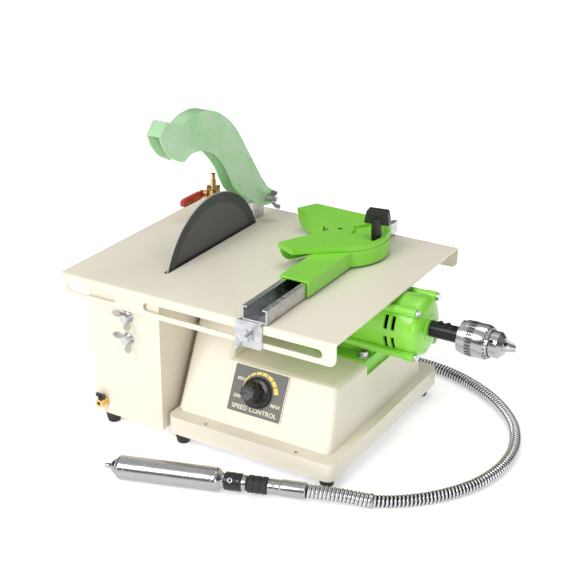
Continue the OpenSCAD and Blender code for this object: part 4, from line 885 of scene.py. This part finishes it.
def make_label():
    """Speed plate with its border, growing scale and lettering."""
    plate = extruded(round_box(69, 54, 3), 0.05, 0.8)
    new_piece("speed_plate", *plate, "frame", "label_print", "plate", ("speed_label",))
    border = band_ring(round_box(68.96, 53.96, 2.98), round_box(66.8, 51.8, 1.9), 0.3, PRINT_TOP)
    new_piece("speed_plate_border", *border, "frame", "label_print", "print_pale")
    marks = []
    bounds = [172, 128, 108, 88, 68, 48, 28, 6]
    for start, stop in zip(bounds, bounds[1:]):
        t = np.radians(np.linspace(start, stop + 2.5, 11))
        inner = 19.6 + np.linspace(0.0, 0.2, 11)
        outer = inner + np.interp(np.degrees(t), [6, 60, 128, 172], [5.4, 4.4, 2.4, 0.3])
        far = np.column_stack([outer * np.cos(t), outer * np.sin(t)])
        near = np.column_stack([inner * np.cos(t), inner * np.sin(t)])
        marks.append(extruded(np.vstack([far, near[::-1]])[::-1], 0.7, PRINT_TOP))
    new_piece("speed_scale", *join_shapes(*marks), "frame", "label_print", "print_yellow")
    words("speed_min", "MIN", 5.2, (-23.5, 10.5))
    words("speed_off", "OFF", 5.2, (-24.0, -9.0))
    words("speed_max", "MAX", 5.2, (24.5, -9.5))
    words("speed_title", "SPEED CONTROL", 6.8, (0, -20.0))


def make_speed_knob():
    """Speed knob: a round skirt and an eight-fluted grip, whose radius dips by a cosine eight times round."""

    def flutes(s, t):
        """The dips, which fade out towards the skirt."""
        cut = np.clip((s - 6.2) / 1.2, 0, 1)
        return 1 - cut * 0.11 * (0.5 + 0.5 * np.cos(8 * t)) ** 2

    profile = rounded_profile([
        (1.3, 0), (1.3, 17.2), (2.0, 17.5), (4.9, 17.3), (6.3, 15.0), (6.9, 11.8), (7.4, 11.3), (23.6, 9.4),
        (KNOB_LENGTH, 8.5), (KNOB_LENGTH, 0),
    ], 0.5)
    out = (0, -math.cos(SLOPE), math.sin(SLOPE))
    new_piece("speed_dial", *turned(profile, KNOB_AT, out, 128, flutes), "speed_dial", "black_plastic", "black",
              ("speed_knob",), 35)
    outline = round_box(1.5, 8.0, 0.6)
    outline[:, 1] += 4.2
    turn = math.radians(112)
    spin = np.array([[math.cos(turn), -math.sin(turn)], [math.sin(turn), math.cos(turn)]])
    mark = extruded(outline @ spin.T, KNOB_LENGTH - 0.15, KNOB_LENGTH)
    new_piece("speed_dial_mark", *mark, "speed_dial", "black_plastic", "dial_mark")
    tint_nodes({"potentiometer": "zinc"})


def make_base():
    """Base casting with generously rounded outer edges, its bottom plate, screws, feet, gland and board."""
    base = softened("base_shell", "base_casting", "frame", "cream", sizes().enamel_edge)
    round_outer_edges(base)
    softened("rubber_feet", "rubber_foot_pads", "frame", "rubber", 0.8)
    tint_nodes({"bottom_plate": "zinc", "cover_screws": "zinc", "cable_gland": "black", "control_board": "board"})


def round_outer_edges(base):
    """Marks the long edges where two of the base's outer faces meet, and rounds them first with a wider bevel."""
    mesh = base.data
    corners = corners_of(mesh) / MM
    x, y, z = corners.T
    rise = z - LEDGE_Z
    faces = {
        "front": y - (-128 + FRONT_SLOPE * rise), "rear": y - (98 - REAR_SLOPE * rise),
        "side": x - (159 - SIDE_SLOPE * rise), "deck": z - DECK_Z, "tower": x - 18, "left": x + 36,
    }
    pairs = np.zeros(len(mesh.edges) * 2, int)
    mesh.edges.foreach_get("vertices", pairs)
    pairs = pairs.reshape(-1, 2)
    on = {name: (np.abs(away) < 0.3)[pairs].all(axis=1) for name, away in faces.items()}
    long_enough = np.linalg.norm(corners[pairs[:, 0]] - corners[pairs[:, 1]], axis=1) > 14
    meets = sum(edge.astype(int) for edge in on.values()) >= 2
    layer = mesh.attributes.new("bevel_weight_edge", "FLOAT", "EDGE")
    layer.data.foreach_set("value", (meets & long_enough & ~(on["deck"] & on["tower"])).astype(float))
    wide = base.modifiers.new("Rounded outer edges", "BEVEL")
    wide.limit_method = "WEIGHT"
    wide.width = sizes().base_round * MM
    wide.segments = 5
    wide.harden_normals = True
    base.modifiers.move(1, 0)


def make_tank():
    """Water tank with its drain, wing bolts and seal."""
    softened("water_tank", "water_tank_box", "frame", "cream", sizes().enamel_edge * 1.4, 3)
    softened("drain_cock", "drain_cock_body", "frame", "brass", 0.4)
    softened("drain_handle", "drain_cock_handle", "drain_tap", "black", 0.6)
    for k in (1, 2):
        softened(f"tank_wing_bolt_{k}", f"tank_bolt_wings_{k}", f"tank_bolt_{k}", "zinc", 0.6, 3)
    tint_nodes({"shaft_seal": "rubber"})


def make_table():
    """Table sheet, its nuts, and the rail with its clamps and wing bolts."""
    softened("table_top", "table_sheet", "frame", "cream", sizes().enamel_edge * 0.6)
    tint_nodes({"lock_nuts": "zinc"})
    softened("rail_channel", "rail_track", "rail", "galvanised", 0.5)
    softened("rail_clamps", "rail_clamp_plates", "rail", "galvanised", 0.4)
    for end in ("front", "rear"):
        softened(f"{end}_clamp_bolt", f"{end}_bolt_wings", f"{end}_bolt", "zinc", 0.6, 3)


def make_fence():
    """Green guide and fence castings, the black tee knob, and the head of the fence's pivot pin."""
    edge = sizes().casting_edge
    softened("miter_guide", "guide_casting", "guide", "green", edge * 0.7, 3)
    softened("miter_fence", "fence_casting", "fence", "green", edge * 0.8, 3)
    softened("tee_knob", "tee_knob_moulding", "clamp_knob", "black", 1.2, 4)
    top = corners_of(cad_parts["miter_guide"].data)[:, 2].max() / MM
    head = rounded_profile([(-0.5, 0), (-0.5, 2.95), (0.5, 2.95), (1.0, 2.3), (1.0, 0)], 0.3)
    new_piece("pivot_pin_head", *turned(head, (60, 70, top), (0, 0, 1), 32), "guide", "green_paint", "oxide", (), 30)


def make_guard():
    """Blade guard, its bracket, bolt and wing nut."""
    softened("blade_guard", "guard_moulding", "guard", "guard", 0.7, 3, 40)
    softened("guard_bracket", "guard_bracket_plate", "frame", "zinc", 0.4)
    softened("guard_pivot_bolt", "guard_bolt", "frame", "zinc", 0.3)
    softened("guard_wing_nut", "guard_nut_wings", "guard_nut", "zinc", 0.6, 3)


def make_blade():
    """Saw blade: a thin disc with a thicker rim, turned about the spindle, and its flanges and nut."""
    outline = np.array([
        (-0.6, 6.02), (-0.6, 85.6), (-0.8, 86.4), (-0.8, 99.7), (-0.5, 100), (0.5, 100), (0.8, 99.7), (0.8, 86.4),
        (0.6, 85.6), (0.6, 6.02),
    ])
    sides = 180
    t = np.linspace(0, 2 * np.pi, sides, endpoint=False)
    x, r = np.repeat(BLADE_X + outline[:, :1], sides, 1), outline[:, 1:]
    points = np.stack([x, AXIS_Y + r * np.cos(t), AXIS_Z + r * np.sin(t)], -1).reshape(-1, 3)
    faces = grid_faces(len(outline), sides, closed_rows=True)
    new_piece("blade_disc", points, faces, "spindle", "blade_steel", "blade", ("saw_blade",), 30)
    softened("blade_flanges", "blade_clamp_flanges", "spindle", "steel", 0.4)
    softened("blade_nut", "blade_hex_nut", "spindle", "steel", 0.4)


def make_valve():
    """Brass ball valve with its red lever and the spray pipe below."""
    softened("water_valve", "valve_body", "frame", "brass", 0.4)
    softened("valve_lever", "valve_lever_grip", "valve_handle", "red", 1.2, 3)
    tint_nodes({"spray_pipe": "brass"})


def make_motor():
    """Green motor castings and what shows through their slots."""
    softened("motor_housing", "motor_casting", "frame", "green", 0.7, 2, 40)
    for end in ("front", "rear"):
        softened(f"{end}_end_cap", f"{end}_cap_casting", "frame", "green", 0.8, 3, 40)
    for kind in ("mount", "through"):
        softened(f"{kind}_bolts", f"motor_{kind}_bolts", "frame", "zinc", 0.4)
    tint_nodes({
        "stator_core": "core", "armature_core": "core", "field_coils": "copper", "commutator": "copper",
        "carbon_brushes": "carbon", "ball_bearings": "steel", "bearing_support": "zinc", "motor_shaft": "steel",
        "cooling_fan": "black",
    })


def make_chuck():
    """Black adaptor, chuck body, knurled sleeve with bevel teeth, and jaws."""
    softened("chuck_adaptor", "adaptor_sleeve", "spindle", "oxide", 0.5)
    softened("chuck_body", "chuck_core", "spindle", "chrome", 0.5)
    softened("chuck_sleeve", "chuck_geared_sleeve", "sleeve", "chrome", 0.35)

    def crossed(s, t):
        """Crossed helical waves: the higher of two opposite spirals at each point."""
        return 1 + 0.02 * np.maximum(np.cos(36 * t + s * 2.4), np.cos(36 * t - s * 2.4))

    s = np.linspace(254.6, 262.6, 34)
    band = np.vstack([[254.5, 18.2], np.column_stack([s, np.full(len(s), 18.75)]), [262.7, 18.2]])
    knurl = turned(band, (0, AXIS_Y, AXIS_Z), (1, 0, 0), 216, crossed)
    new_piece("sleeve_knurl", *knurl, "sleeve", "chrome", "knurl", (), 60)
    for k in (1, 2, 3):
        softened(f"chuck_jaw_{k}", f"jaw_{k}_steel", f"jaw_{k}", "steel", 0.15)


class CABBING_OT_stage(bpy.types.Operator):
    """Floor, lights and camera."""

    bl_idname = "cabbing.stage"
    bl_label = "Studio"

    def execute(self, context):
        make_stage()
        return {"FINISHED"}


class CABBING_OT_hose(bpy.types.Operator):
    """Wound sheath of the flexible shaft."""

    bl_idname = "cabbing.hose"
    bl_label = "Shaft Sheath"

    def execute(self, context):
        make_hose()
        return {"FINISHED"}


class CABBING_OT_handpiece(bpy.types.Operator):
    """Handpiece with its ferrule, grip and nose."""

    bl_idname = "cabbing.handpiece"
    bl_label = "Handpiece"

    def execute(self, context):
        make_handpiece()
        return {"FINISHED"}


class CABBING_OT_base(bpy.types.Operator):
    """Base casting, feet and what it holds."""

    bl_idname = "cabbing.base"
    bl_label = "Base"

    def execute(self, context):
        make_base()
        return {"FINISHED"}


class CABBING_OT_tank(bpy.types.Operator):
    """Water tank, drain and wing bolts."""

    bl_idname = "cabbing.tank"
    bl_label = "Water Tank"

    def execute(self, context):
        make_tank()
        return {"FINISHED"}


class CABBING_OT_table(bpy.types.Operator):
    """Table sheet, rail and clamps."""

    bl_idname = "cabbing.table"
    bl_label = "Table and Rail"

    def execute(self, context):
        make_table()
        return {"FINISHED"}


class CABBING_OT_fence(bpy.types.Operator):
    """Guide, fence and tee knob."""

    bl_idname = "cabbing.fence"
    bl_label = "Guide and Fence"

    def execute(self, context):
        make_fence()
        return {"FINISHED"}


class CABBING_OT_guard(bpy.types.Operator):
    """Blade guard and its bracket."""

    bl_idname = "cabbing.guard"
    bl_label = "Blade Guard"

    def execute(self, context):
        make_guard()
        return {"FINISHED"}


class CABBING_OT_blade(bpy.types.Operator):
    """Saw blade, flanges and nut."""

    bl_idname = "cabbing.blade"
    bl_label = "Saw Blade"

    def execute(self, context):
        make_blade()
        return {"FINISHED"}


class CABBING_OT_valve(bpy.types.Operator):
    """Water valve, lever and spray pipe."""

    bl_idname = "cabbing.valve"
    bl_label = "Water Valve"

    def execute(self, context):
        make_valve()
        return {"FINISHED"}


class CABBING_OT_motor(bpy.types.Operator):
    """Motor castings and inner parts."""

    bl_idname = "cabbing.motor"
    bl_label = "Motor"

    def execute(self, context):
        make_motor()
        return {"FINISHED"}


class CABBING_OT_chuck(bpy.types.Operator):
    """Adaptor, chuck, sleeve and jaws."""

    bl_idname = "cabbing.chuck"
    bl_label = "Chuck"

    def execute(self, context):
        make_chuck()
        return {"FINISHED"}


class CABBING_OT_label(bpy.types.Operator):
    """Printed speed plate."""

    bl_idname = "cabbing.label"
    bl_label = "Speed Plate"

    def execute(self, context):
        make_label()
        return {"FINISHED"}


class CABBING_OT_speed_knob(bpy.types.Operator):
    """Fluted speed knob."""

    bl_idname = "cabbing.speed_knob"
    bl_label = "Speed Knob"

    def execute(self, context):
        make_speed_knob()
        return {"FINISHED"}


OPERATORS = [
    CABBING_OT_stage,
    CABBING_OT_hose,
    CABBING_OT_handpiece,
    CABBING_OT_base,
    CABBING_OT_tank,
    CABBING_OT_table,
    CABBING_OT_fence,
    CABBING_OT_guard,
    CABBING_OT_blade,
    CABBING_OT_valve,
    CABBING_OT_motor,
    CABBING_OT_chuck,
    CABBING_OT_label,
    CABBING_OT_speed_knob,
]


class CABBING_PT_panel(bpy.types.Panel):
    """Sidebar panel with the makers, colours and sizes."""

    bl_label = "Cabbing Machine"
    bl_space_type = "VIEW_3D"
    bl_region_type = "UI"
    bl_category = "Cabbing Machine"

    def draw(self, context):
        for made in OPERATORS:
            self.layout.operator(made.bl_idname)
        for holder in (context.scene.cabbing_colours, context.scene.cabbing_sizes):
            for key in holder.bl_rna.properties.keys():
                if key not in ("rna_type", "name"):
                    self.layout.prop(holder, key)


CLASSES = [CabbingColours, CabbingSizes, *OPERATORS, CABBING_PT_panel]


def register():
    """Registers the classes and hangs the settings on the scene."""
    for made in CLASSES:
        bpy.utils.register_class(made)
    bpy.types.Scene.cabbing_colours = bpy.props.PointerProperty(type=CabbingColours)
    bpy.types.Scene.cabbing_sizes = bpy.props.PointerProperty(type=CabbingSizes)


def unregister():
    """Removes the settings and the classes."""
    del bpy.types.Scene.cabbing_sizes
    del bpy.types.Scene.cabbing_colours
    for made in reversed(CLASSES):
        bpy.utils.unregister_class(made)


def main():
    register()
    for made in OPERATORS:
        getattr(bpy.ops.cabbing, made.bl_idname.split(".")[1])()


if __name__ == "__main__":
    main()
